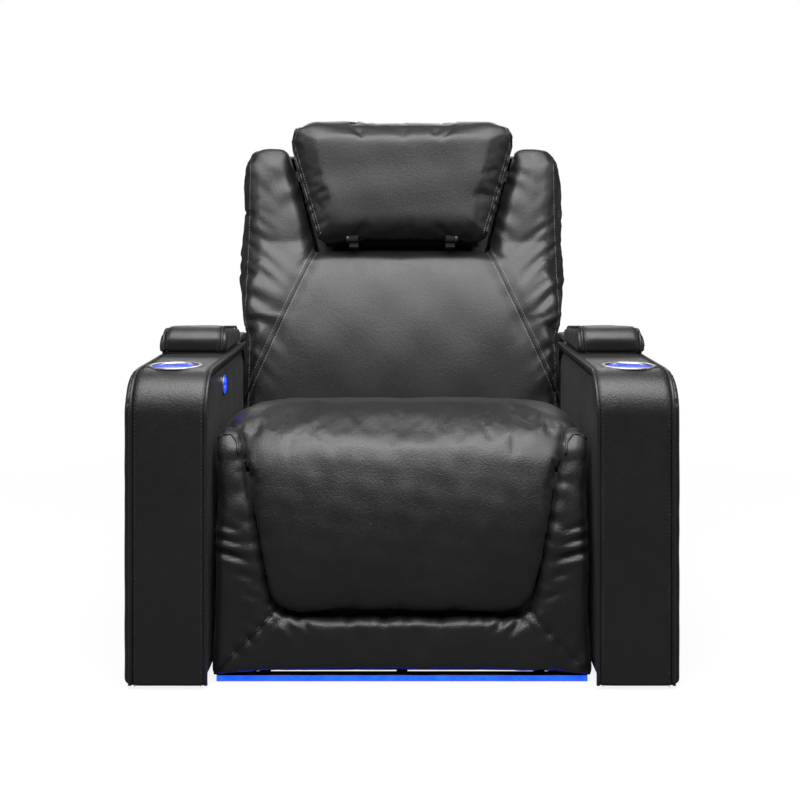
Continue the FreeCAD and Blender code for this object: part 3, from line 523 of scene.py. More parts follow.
def remeshed(piece: bpy.types.Object, voxel: float, bevel: float = 0.0,
             passes: int = 3) -> bpy.types.Object:
    """Rounds a slab's edges and gives it an even mesh.

    Args:
        piece: A closed slab.
        voxel: The size of the mesh's cells.
        bevel: The radius of its edges.
        passes: Passes of smoothing after the remesh.

    Returns:
        The same object with its new mesh.
    """
    if bevel > 0:
        edge = piece.modifiers.new("edge", "BEVEL")
        edge.width = bevel
        edge.segments = 5
        edge.limit_method = "ANGLE"
        edge.angle_limit = math.radians(35)
    cells = piece.modifiers.new("cells", "REMESH")
    cells.mode = "VOXEL"
    cells.voxel_size = voxel
    if passes:
        relax = piece.modifiers.new("relax", "SMOOTH")
        relax.factor = 0.5
        relax.iterations = passes
    return smooth(applied(piece))


def carved(piece: bpy.types.Object, tool: bpy.types.Object,
           operation: str = "DIFFERENCE") -> bpy.types.Object:
    """Takes one closed mesh out of another, or keeps what both share, and removes the tool."""
    cut = piece.modifiers.new("cut", "BOOLEAN")
    cut.operation = operation
    cut.solver = "EXACT"
    cut.object = tool
    applied(piece)
    bpy.data.objects.remove(tool)
    return piece


def puffed(piece: bpy.types.Object, cap: float, pressure: float = 4.0,
           frames: int = 20) -> bpy.types.Object:
    """Inflates a pad by cloth simulation, within a cap on each point's travel.

    Args:
        piece: A closed, evenly meshed pad.
        cap: The furthest that a point may move.
        pressure: The air pressure inside.
        frames: How long the simulation runs.

    Returns:
        The same object, with its puffed mesh.
    """
    start = points_of(piece)
    cloth = piece.modifiers.new("cloth", "CLOTH")
    cloth.settings.quality = 4
    cloth.settings.mass = 0.3
    cloth.settings.use_pressure = True
    cloth.settings.uniform_pressure_force = pressure
    cloth.settings.effector_weights.gravity = 0.0
    cloth.settings.tension_stiffness = 18.0
    cloth.settings.compression_stiffness = 18.0
    cloth.settings.bending_stiffness = 0.4
    cloth.settings.shrink_min = -0.02
    cloth.collision_settings.use_collision = False
    cloth.point_cache.frame_start = 1
    cloth.point_cache.frame_end = frames
    scene = bpy.context.scene
    for frame_number in range(1, frames + 1):
        scene.frame_set(frame_number)
    applied(piece)
    scene.frame_set(1)
    moved = points_of(piece) - start
    far = np.linalg.norm(moved, axis=1, keepdims=True)
    put_points(piece, start + moved * np.minimum(1.0, cap / np.maximum(far, 1e-9)))
    return smooth(piece)


# Paths, tubes and sheets

def resampled(path: Array, step: float) -> Array:
    """A polyline with even spacing.

    Args:
        path: The corners, one row each.
        step: The spacing wanted.

    Returns:
        The evenly spaced points.
    """
    path = np.asarray(path, dtype=float)
    runs = np.linalg.norm(np.diff(path, axis=0), axis=1)
    at = np.concatenate([[0.0], np.cumsum(runs)])
    count = max(2, int(round(at[-1] / step)) + 1)
    where = np.linspace(0.0, at[-1], count)
    return np.column_stack([np.interp(where, at, path[:, axis]) for axis in range(path.shape[1])])


def flat_normals(path: Array) -> Array:
    """Normals of a flat path, to the left of its direction."""
    way = np.gradient(path, axis=0)
    way /= np.linalg.norm(way, axis=1, keepdims=True)
    return np.column_stack([-way[:, 1], way[:, 0]])


def tube(name: str, path: Array, radius: float, sides: int = 8) -> bpy.types.Object:
    """A closed round tube along a path.

    Args:
        name: The object's name.
        path: Points in space, in order.
        radius: The tube's radius.
        sides: Corners of its section.

    Returns:
        The tube.
    """
    path = np.asarray(path, dtype=float)
    way = np.gradient(path, axis=0)
    way /= np.linalg.norm(way, axis=1, keepdims=True)
    across = np.cross(way[0], [0.0, 0.0, 1.0])
    if np.linalg.norm(across) < 0.2:
        across = np.cross(way[0], [1.0, 0.0, 0.0])
    rings = []
    for spot, direction in zip(path, way):
        across = across - direction * np.dot(across, direction)
        across /= np.linalg.norm(across)
        up = np.cross(direction, across)
        turns = np.linspace(0.0, 2 * math.pi, sides, endpoint=False)
        rings.append(spot + radius * (np.outer(np.cos(turns), across) + np.outer(np.sin(turns), up)))
    count = len(rings)
    points = np.vstack(rings)
    faces = [[sides * ring + k, sides * ring + (k + 1) % sides,
              sides * (ring + 1) + (k + 1) % sides, sides * (ring + 1) + k]
             for ring in range(count - 1) for k in range(sides)]
    faces += [list(range(sides)), list(range(sides * count - 1, sides * (count - 1) - 1, -1))]
    mesh = bpy.data.meshes.new(name)
    mesh.from_pydata(points.tolist(), [], faces)
    return smooth(outward(link(name, mesh)))


def sheet(name: str, upper: Array, lower: Array) -> bpy.types.Object:
    """A closed panel between two grids of points.

    Args:
        name: The object's name.
        upper: The show face, as rows by columns by 3.
        lower: The hidden face, of the same layout.

    Returns:
        The panel.
    """
    rows, columns, _ = upper.shape
    size = rows * columns
    index = np.arange(size).reshape(rows, columns)
    quads = np.stack([index[:-1, :-1], index[1:, :-1], index[1:, 1:], index[:-1, 1:]], axis=-1)
    quads = quads.reshape(-1, 4)
    faces = quads.tolist() + (quads[:, ::-1] + size).tolist()
    rim = np.concatenate([index[0, :], index[1:, -1], index[-1, -2::-1], index[-2:0:-1, 0]])
    for first, second in zip(rim, np.roll(rim, -1)):
        faces.append([int(second), int(first), int(first) + size, int(second) + size])
    mesh = bpy.data.meshes.new(name)
    mesh.from_pydata(np.vstack([upper.reshape(-1, 3), lower.reshape(-1, 3)]).tolist(), [], faces)
    return smooth(outward(link(name, mesh)))


def turned(name: str, profile: Sequence[Point2], centre: Sequence[float],
           steps: int = 72) -> bpy.types.Object:
    """A round piece turned about the upright axis from (radius, height) points, a closed ring."""
    turns = np.linspace(0.0, 2 * math.pi, steps, endpoint=False)
    ring = np.asarray(profile)
    count = len(ring)
    points = []
    for turn in turns:
        points.append(np.column_stack([centre[0] + ring[:, 0] * math.cos(turn),
                                       centre[1] + ring[:, 0] * math.sin(turn), ring[:, 1]]))
    faces = [[count * i + k, count * i + (k + 1) % count,
              count * ((i + 1) % steps) + (k + 1) % count, count * ((i + 1) % steps) + k]
             for i in range(steps) for k in range(count)]
    mesh = bpy.data.meshes.new(name)
    mesh.from_pydata(np.vstack(points).tolist(), [], faces)
    return smooth(outward(link(name, mesh)))


# Soft form

def beside(points: Array, path: Array) -> tuple[Array, Array]:
    """How far points lie from a path, and where along it.

    Args:
        points: Flat or spatial points.
        path: A polyline in the same space.

    Returns:
        The distances, and the runs along the path to the nearest places.
    """
    best = np.full(len(points), np.inf)
    runs = np.zeros(len(points))
    done = 0.0
    for first, last in zip(path[:-1], path[1:]):
        way = last - first
        length = float(np.linalg.norm(way))
        if length < 1e-9:
            continue
        share = np.clip((points - first) @ way / length**2, 0.0, 1.0)
        gap = np.linalg.norm(points - first - np.outer(share, way), axis=1)
        near = gap < best
        best[near] = gap[near]
        runs[near] = done + share[near] * length
        done += length
    return best, runs


def inside(points: Array, outline: Sequence[Point2]) -> Array:
    """How far flat points lie from a closed outline."""
    return beside(points, np.array([*outline, outline[0]]))[0]


def dome(gap: Array, reach: float) -> Array:
    """A round shoulder: 0 at a seam, 1 at a reach from it."""
    share = np.clip(gap / reach, 0.0, 1.0)
    return np.sqrt(1.0 - (1.0 - share) ** 2)


def eased(share: Array) -> Array:
    """A smooth step from 0 to 1."""
    share = np.clip(share, 0.0, 1.0)
    return share * share * (3.0 - 2.0 * share)


def gathers(gap: Array, run: Array, length: float, spacing: float, depth: float, reach: float,
            seed: int, slant: float = 0.0) -> Array:
    """Short folds that leave a seam at a right angle and die away.

    Args:
        gap: Distance of each point from the seam.
        run: Its place along the seam.
        length: The seam's length.
        spacing: The folds' mean spacing.
        depth: Their mean depth at the seam.
        reach: Their mean length.
        seed: Seed of their unevenness.
        slant: How far they run back along the seam as they leave it.

    Returns:
        A height for each point.
    """
    chance = np.random.default_rng(seed)
    height = np.zeros(len(gap))
    near = gap < reach * 3.2
    for place in np.arange(spacing / 2, length, spacing):
        centre = place + chance.uniform(-0.4, 0.4) * spacing
        width = spacing * chance.uniform(0.22, 0.42)
        lean = slant + chance.uniform(-0.3, 0.3)
        deep = depth * chance.uniform(0.35, 1.3)
        long = reach * chance.uniform(0.5, 1.35)
        across = (run[near] - centre + lean * gap[near]) / (width * (1.0 + gap[near] / reach))
        fold = (1.0 - 2.0 * across**2) * np.exp(-(across**2))
        height[near] -= deep * fold * np.exp(-((gap[near] / long) ** 2))
    return height


@dataclass(frozen=True)
class Crease:
    """One soft fold between two places of a panel."""

    start: Point2
    end: Point2
    depth: float
    width: float

    def height(self, flat: Array) -> Array:
        """The fold's height at flat points: a valley with a ridge on each side."""
        path = resampled(np.array([self.start, self.end]), 0.004)
        gap, run = beside(flat, path)
        length = float(np.linalg.norm(np.subtract(self.end, self.start)))
        across = gap / self.width
        fade = np.sin(np.pi * np.clip(run / length, 0.02, 0.98)) ** 0.7
        return -self.depth * (1.0 - 1.6 * across**2) * np.exp(-(across**2)) * fade


def unevenness(points: Array, scale: float, seed: int, waves: int = 9) -> Array:
    """Slow waves over a surface, between about -1 and 1."""
    chance = np.random.default_rng(seed)
    height = np.zeros(len(points))
    for _ in range(waves):
        way = chance.normal(size=3)
        way *= chance.uniform(0.5, 1.6) / (np.linalg.norm(way) * scale)
        height += np.sin(points @ way * 2 * math.pi + chance.uniform(0.0, 6.28))
    return height / math.sqrt(waves)


class StitchRow:
    """Geometry Nodes that sew a row of stitches along a path."""

    INPUTS = (("Spacing", 0.0075), ("Length", 0.0052), ("Radius", 0.00055))

    def __init__(self) -> None:
        """Builds the tree."""
        tree = bpy.data.node_groups.new("stitch_row", "GeometryNodeTree")
        face = tree.interface
        face.new_socket("Path", in_out="INPUT", socket_type="NodeSocketGeometry")
        for name, size in self.INPUTS:
            face.new_socket(name, in_out="INPUT", socket_type="NodeSocketFloat").default_value = size
        face.new_socket("Thread", in_out="INPUT", socket_type="NodeSocketMaterial")
        face.new_socket("Stitches", in_out="OUTPUT", socket_type="NodeSocketGeometry")
        start = tree.nodes.new("NodeGroupInput")
        end = tree.nodes.new("NodeGroupOutput")
        curve = tree.nodes.new("GeometryNodeMeshToCurve")
        spaced = tree.nodes.new("GeometryNodeResampleCurve")
        spaced.mode = "LENGTH"
        stitch = tree.nodes.new("GeometryNodeMeshUVSphere")
        stitch.inputs["Segments"].default_value = 6
        stitch.inputs["Rings"].default_value = 4
        size = tree.nodes.new("ShaderNodeCombineXYZ")
        half = tree.nodes.new("ShaderNodeMath")
        half.operation = "MULTIPLY"
        half.inputs[1].default_value = 0.5
        way = tree.nodes.new("GeometryNodeInputTangent")
        turn = tree.nodes.new("FunctionNodeAlignRotationToVector")
        turn.axis = "Z"
        rows = tree.nodes.new("GeometryNodeInstanceOnPoints")
        real = tree.nodes.new("GeometryNodeRealizeInstances")
        dress = tree.nodes.new("GeometryNodeSetMaterial")
        join = tree.links.new
        join(start.outputs["Path"], curve.inputs["Mesh"])
        join(curve.outputs["Curve"], spaced.inputs["Curve"])
        join(start.outputs["Spacing"], spaced.inputs["Length"])
        join(start.outputs["Length"], half.inputs[0])
        join(start.outputs["Radius"], size.inputs["X"])
        join(start.outputs["Radius"], size.inputs["Y"])
        join(half.outputs[0], size.inputs["Z"])
        join(way.outputs["Tangent"], turn.inputs["Vector"])
        join(spaced.outputs["Curve"], rows.inputs["Points"])
        join(stitch.outputs["Mesh"], rows.inputs["Instance"])
        join(turn.outputs["Rotation"], rows.inputs["Rotation"])
        join(size.outputs["Vector"], rows.inputs["Scale"])
        join(rows.outputs["Instances"], real.inputs["Geometry"])
        join(real.outputs["Geometry"], dress.inputs["Geometry"])
        join(start.outputs["Thread"], dress.inputs["Material"])
        join(dress.outputs["Geometry"], end.inputs["Stitches"])
        self.tree = tree

    def sew(self, name: str, paths: Iterable[Array], thread: bpy.types.Material,
            **sizes: float) -> bpy.types.Object:
        """Sews stitches along paths.

        Args:
            name: The object's name.
            paths: The rows' paths in space.
            thread: The thread's material.
            **sizes: Spacing, Length or Radius, where they differ from the usual.

        Returns:
            The stitches, as a plain mesh.
        """
        points: list = []
        edges: list = []
        for path in paths:
            start = len(points)
            points += np.asarray(path).tolist()
            edges += [(i, i + 1) for i in range(start, len(points) - 1)]
        mesh = bpy.data.meshes.new(name)
        mesh.from_pydata(points, edges, [])
        piece = link(name, mesh)
        row = piece.modifiers.new("row", "NODES")
        row.node_group = self.tree
        wanted = dict(self.INPUTS) | sizes | {"Thread": thread}
        for item in self.tree.interface.items_tree:
            if item.in_out == "INPUT" and item.name in wanted:
                row[item.identifier] = wanted[item.name]
        return smooth(applied(piece))


# Places of the construction

@dataclass(frozen=True)
class Plan:
    """Where the construction stands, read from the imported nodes."""

    arm_in: float
    arm_out: float
    frame_in: float
    frame_out: float
    front: float
    arm_rear: float
    pad_rear: float
    arm_low: float
    arm_top: float
    hinge: Vector
    pivot: Vector
    tilt: Vector
    lean: float = math.radians(12.0)

    @classmethod
    def read(cls, frame: dict) -> "Plan":
        """Reads the places from the frame.

        Args:
            frame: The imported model.

        Returns:
            The plan.
        """
        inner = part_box("right_arm_inner_pad")
        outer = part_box("right_arm_outer_pad")
        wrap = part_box("right_arm_wrap")
        joints = {joint["name"]: Vector(joint["pos_m"]) for joint in frame["joints"]
                  if "pos_m" in joint}
        return cls(arm_in=inner[0][0], arm_out=outer[1][0], frame_in=inner[1][0],
                   frame_out=wrap[1][0], front=wrap[0][1], arm_rear=wrap[1][1],
                   pad_rear=inner[1][1], arm_low=wrap[0][2], arm_top=wrap[1][2],
                   hinge=joints["footrest_hinge"], pivot=joints["back_recline"],
                   tilt=joints["headrest_tilt"])

    def leaned(self, upright: Array) -> Array:
        """Turns points of the back, made upright about the recline pivot, to their lean."""
        cos, sin = math.cos(self.lean), math.sin(self.lean)
        out = np.array(upright, dtype=float)
        out[:, 1] = self.pivot.y + upright[:, 1] * cos + upright[:, 2] * sin
        out[:, 2] = self.pivot.z - upright[:, 1] * sin + upright[:, 2] * cos
        return out

    def upright(self, points: Array, normals: Array) -> tuple[Array, Array, Array]:
        """Reads points of the leaning back in its upright frame.

        Args:
            points: Places in the seat's own frame.
            normals: The surface's normals there.

        Returns:
            The upright depths and heights, and how far each normal faces to the rear.
        """
        cos, sin = math.cos(self.lean), math.sin(self.lean)
        away, up = points[:, 1] - self.pivot.y, points[:, 2] - self.pivot.z
        rearward = normals[:, 1] * cos - normals[:, 2] * sin
        return away * cos - up * sin, away * sin + up * cos, rearward


def arc(centre: Point2, radius: float, start: float, end: float, steps: int = 12) -> list[Point2]:
    """Points of an arc, from a start to an end angle in degrees."""
    angles = np.radians(np.linspace(start, end, steps + 1))
    return [(centre[0] + radius * math.cos(a), centre[1] + radius * math.sin(a)) for a in angles]


@dataclass
class Arm:
    """A box arm: padded wrap, side panels, piping, stitches, cup well and bin."""

    side: Side
    plan: Plan
    finishes: Finishes
    stitching: StitchRow
    front_radius: float = 0.075
    rear_radius: float = 0.020
    wrap_thick: float = 0.0125
    wrap_crown: float = 0.0012
    seam_inset: float = 0.0015
    piping_radius: float = 0.0032
    stitch_inset: float = 0.0085
    panel_bulge: float = 0.006
    cell: float = 0.0055
    cup_hole: float = 0.0428
    cup_bore: float = 0.0415
    cup_wall: float = 0.001
    cup_lip: float = 0.0024

    def x(self, distance: float) -> float:
        """A distance from the middle of the seat, on this arm's side."""
        return distance * self.side.value

    def profile(self, grow: float = 0.0) -> list[Point2]:
        """The (y, z) path over the front, top and rear of the arm."""
        plan = self.plan
        front, rear, top = plan.front - grow, plan.arm_rear + grow, plan.arm_top + grow
        big, small = self.front_radius + grow, self.rear_radius + grow
        path = [(front, plan.arm_low)]
        path += arc((front + big, top - big), big, 180, 90, 20)
        path += arc((rear - small, top - small), small, 90, 0, 8)
        return path + [(rear, plan.arm_low)]

    def wrap_height(self, across: Array) -> Array:
        """Crown of the wrap, rolled down to its seams, for a share of -1 to 1 across it."""
        edge = (1.0 - np.abs(across)) * (self.plan.frame_out - self.plan.arm_in) / 2
        return self.wrap_crown * (1.0 - across**4) - 0.0035 * np.exp(-((edge / 0.0045) ** 2))

    def wrap(self) -> bpy.types.Object:
        """The padded strip over the front, top and rear.

        Returns:
            The wrap with its holes for the cup well and the bin.
        """
        plan = self.plan
        path = resampled(np.array(self.profile()), self.cell)
        normals = flat_normals(path)
        columns = 29
        across = np.sin(np.linspace(-1.0, 1.0, columns) * math.pi / 2 * 0.97) / math.sin(
            math.pi / 2 * 0.97)
        low = np.full(len(path), plan.arm_in + self.seam_inset)
        beyond = eased((path[:, 0] - plan.pad_rear + 0.004) / 0.008)
        low += beyond * (plan.frame_in - plan.arm_in)
        high = plan.frame_out - self.seam_inset
        upper = np.empty((len(path), columns, 3))
        lower = np.empty_like(upper)
        for column, share in enumerate(across):
            x = low + (high - low) * (share + 1) / 2
            height = self.wrap_height(np.full(len(path), share))
            spots = path + normals * height[:, None]
            upper[:, column] = np.column_stack([x * self.side.value, spots])
            inner = path - normals * self.wrap_thick
            lower[:, column] = np.column_stack([x * self.side.value, inner])
        flat = upper.reshape(-1, 3)
        lumps = unevenness(flat, 0.16, 11 + self.side.value) * 0.00045
        push = np.repeat(normals, columns, axis=0) * lumps[:, None]
        flat[:, 1:] += push
        piece = sheet(f"{self.side.word}_arm_wrap_leather", flat.reshape(upper.shape), lower)
        return self.bored(piece)

    def bored(self, piece: bpy.types.Object) -> bpy.types.Object:
        """Cuts the cup well's hole and the bin's mouth out of the wrap."""
        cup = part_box(f"{self.side.word}_cup_holder")
        centre = ((cup[0][0] + cup[1][0]) / 2, (cup[0][1] + cup[1][1]) / 2)
        ring = [(centre[0] + self.cup_hole * math.cos(a), centre[1] + self.cup_hole * math.sin(a))
                for a in np.linspace(0.0, 2 * math.pi, 48, endpoint=False)]
        low, high = self.plan.arm_top - 0.03, self.plan.arm_top + 0.02
        carved(piece, prism("cup_tool", ring, "z", low, high))
        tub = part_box(f"{self.side.word}_storage_bin")
        rim = 0.0048
        mouth = [(tub[0][0] + rim, tub[0][1] + rim), (tub[1][0] - rim, tub[0][1] + rim),
                 (tub[1][0] - rim, tub[1][1] - rim), (tub[0][0] + rim, tub[1][1] - rim)]
        return smooth(carved(piece, prism("bin_tool", mouth, "z", low, high)))

    def side_panel(self, name: str, show: float, hidden: float, rear: float, radii: tuple,
                   low_depth: float, seed: int) -> bpy.types.Object:
        """A thin padded panel on one side of the arm.

        Args:
            name: The object's name.
            show: Distance of its show face from the seat's middle.
            hidden: Distance of its hidden face.
            rear: Its rear edge.
            radii: Radii of its front top and rear top corners.
            low_depth: How much lower than the arm's top it ends.
            seed: Seed of its unevenness.

        Returns:
            The panel.
        """
        plan = self.plan
        top = plan.arm_top - low_depth
        corners = [(plan.front + low_depth, plan.arm_low), (rear, plan.arm_low), (rear, top),
                   (plan.front + low_depth, top)]
        outline = rounded(corners, (0.006, 0.006, radii[1], radii[0]), 10)
        way = math.copysign(1.0, show - hidden)
        rim = show - way * self.panel_bulge
        piece = prism(name, outline, "x", min(self.x(hidden), self.x(rim)),
                      max(self.x(hidden), self.x(rim)))
        remeshed(piece, 0.005, 0.005, 3)
        points = points_of(piece)
        border = np.array(outline + outline[:1])
        gap, run = beside(points[:, 1:], border)
        facing = normals_of(piece)[:, 0] * self.side.value * way
        share = eased((facing - 0.1) / 0.6)
        swell = self.panel_bulge * dome(gap, 0.055)
        swell += 0.0006 * unevenness(points, 0.14, seed) * eased(gap / 0.03)
        swell += gathers(gap, run, float(run.max()), 0.085, 0.0004, 0.03, seed)
        points[:, 0] += self.side.value * way * share * swell
        put_points(piece, points)
        return smooth(piece)

    def panels(self) -> list[bpy.types.Object]:
        """The inner and the outer side panel."""
        plan, word = self.plan, self.side.word
        outer = self.side_panel(f"{word}_arm_outer_leather", plan.arm_out, plan.frame_out + 0.0004,
                                plan.arm_rear - 0.0005, (self.front_radius - 0.001, 0.019), 0.0015,
                                21 + self.side.value)
        inner = self.side_panel(f"{word}_arm_inner_leather", plan.arm_in, plan.frame_in - 0.0004,
                                plan.pad_rear, (0.0585, 0.045), 0.0165, 31 + self.side.value)
        return [outer, inner]

    def seam_path(self, distance: float, lift: float, end: float | None = None) -> Array:
        """A path over the arm at one distance from the seat's middle."""
        path = resampled(np.array(self.profile(lift)), 0.008)
        if end is not None:
            path = path[path[:, 0] < end]
            path = path[:int(np.argmax(path[:, 0])) + 1]
        return np.column_stack([np.full(len(path), self.x(distance)), path])

    def trims(self) -> list[bpy.types.Object]:
        """Piping in both side seams and the stitches beside it."""
        plan, word = self.plan, self.side.word
        outer_seam = plan.frame_out + 0.0005
        inner_seam = plan.arm_in + 0.0005
        outer = tube(f"{word}_outer_piping", self.seam_path(outer_seam, -0.0012),
                     self.piping_radius, 10)
        inner = tube(f"{word}_inner_piping", self.seam_path(inner_seam, -0.0012, plan.pad_rear),
                     self.piping_radius, 10)
        rows = [self.seam_path(plan.frame_out - self.stitch_inset, 0.0006),
                self.seam_path(plan.arm_in + self.stitch_inset, 0.0006, plan.pad_rear)]
        stitches = self.stitching.sew(f"{word}_arm_stitches", rows, self.finishes.dark_thread)
        return [outer, inner, stitches]

    def cup(self) -> list[bpy.types.Object]:
        """The cup holder's turned flange and well, and the lit ring under its lip."""
        word = self.side.word
        low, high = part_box(f"{word}_cup_holder")
        centre = ((low[0] + high[0]) / 2, (low[1] + high[1]) / 2)
        flange = (high[0] - low[0]) / 2
        top, bottom = high[2], low[2]
        bore, wall, lip = self.cup_bore, self.cup_wall, self.cup_lip
        profile = [(0.0005, bottom), (bore + wall - 0.004, bottom)]
        profile += arc((bore + wall - 0.004, bottom + 0.004), 0.004, 270, 360, 6)
        profile += [(bore + wall, top - lip), (flange - 0.0012, top - lip)]
        profile += arc((flange - 0.0012, top - 0.0012), 0.0012, 270, 400, 6)
        profile += [(flange - 0.006, top + 0.0004), (bore + 0.0035, top + 0.0004)]
        profile += arc((bore + 0.0035, top - 0.0031), 0.0035, 90, 180, 8)
        profile += [(bore, bottom + 0.006)]
        profile += arc((bore - 0.005, bottom + 0.006), 0.005, 360, 270, 6)
        profile += [(0.0005, bottom + 0.001)]
        holder = turned(f"{word}_cup_ring", profile, centre)
        light_low, light_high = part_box(f"{word}_cup_light")
        ring = [(bore - 0.0002, light_low[2]), (bore - 0.0022, light_low[2] + 0.0006),
                (bore - 0.0022, light_high[2] - 0.0006), (bore - 0.0002, light_high[2])]
        lamp = turned(f"{word}_cup_light_ring", ring, centre)
        return [holder, lamp]

    def bin(self) -> bpy.types.Object:
        """The storage bin: a moulded tub with rounded corners and a rim."""
        word = self.side.word
        low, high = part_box(f"{word}_storage_bin")
        rim, wall, step = 0.005, 0.002, 0.0008
        levels = [(0.0, high[2] - 0.0005, 0.008), (step, high[2], 0.008),
                  (rim + wall - step, high[2], 0.006), (rim + wall, high[2] - step, 0.006),
                  (rim + wall + 0.001, low[2] + wall + 0.006, 0.006),
                  (rim + wall + 0.006, low[2] + wall, 0.004)]
        outside = [(rim + 0.006, low[2], 0.004), (rim + 0.001, low[2] + 0.006, 0.006),
                   (rim + 0.0003, high[2] - 0.0012, 0.006), (0.0, high[2] - 0.0012, 0.008)]

        def ring(inset: float, level: float, radius: float) -> Array:
            """One ring of the tub's wall."""
            x0, x1 = low[0] + inset, high[0] - inset
            y0, y1 = low[1] + inset, high[1] - inset
            flat = rounded([(x0, y0), (x1, y0), (x1, y1), (x0, y1)], [radius] * 4, 5)
            return lift(flat, "z", level)
        rings = [ring(*level) for level in levels + outside]
        inside = len(levels) - 1
        size = len(rings[0])
        faces = [[i * size + k, i * size + (k + 1) % size, (i + 1) * size + (k + 1) % size,
                  (i + 1) * size + k]
                 for i in range(len(rings) - 1) if i != inside for k in range(size)]
        last = len(rings) - 1
        faces += [[last * size + k, last * size + (k + 1) % size, (k + 1) % size, k]
                  for k in range(size)]
        faces += [[inside * size + k for k in range(size)],
                  [(inside + 1) * size + k for k in range(size)]]
        mesh = bpy.data.meshes.new(f"{word}_bin_tub")
        mesh.from_pydata(np.vstack(rings).tolist(), [], faces)
        return outward(link(f"{word}_bin_tub", mesh))

    def build(self) -> None:
        """Makes every piece of the arm and fits it to the construction."""
        word, finishes = self.side.word, self.finishes
        wrap = self.wrap()
        outer, inner = self.panels()
        for piece, node in ((wrap, "wrap"), (outer, "outer_pad"), (inner, "inner_pad")):
            dress(piece, finishes.leather, "base", "black_leather", f"{word}_arm_{node}")
        outer_piping, inner_piping, stitches = self.trims()
        for piece in (outer_piping, inner_piping):
            dress(piece, finishes.leather, "base", "black_leather")
        dress(stitches, finishes.dark_thread, "base", "black_leather")
        holder, lamp = self.cup()
        dress(holder, finishes.steel, "base", "stainless", f"{word}_cup_holder")
        dress(lamp, finishes.cup_glow, "base", "blue_lens", f"{word}_cup_light")
        dress(self.bin(), finishes.plastic, "base", "black_plastic", f"{word}_storage_bin")
        LOG.info("%s arm built", word)


def dress(piece: bpy.types.Object, finish: bpy.types.Material, body: str | None, slot: str,
          *nodes: str) -> bpy.types.Object:
    """Gives a piece its finish, the body it rides on and the nodes that it stands for."""
    piece.data.materials.clear()
    piece.data.materials.append(finish)
    if body is not None:
        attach(piece, body)
    if nodes:
        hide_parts(*nodes)
    return piece


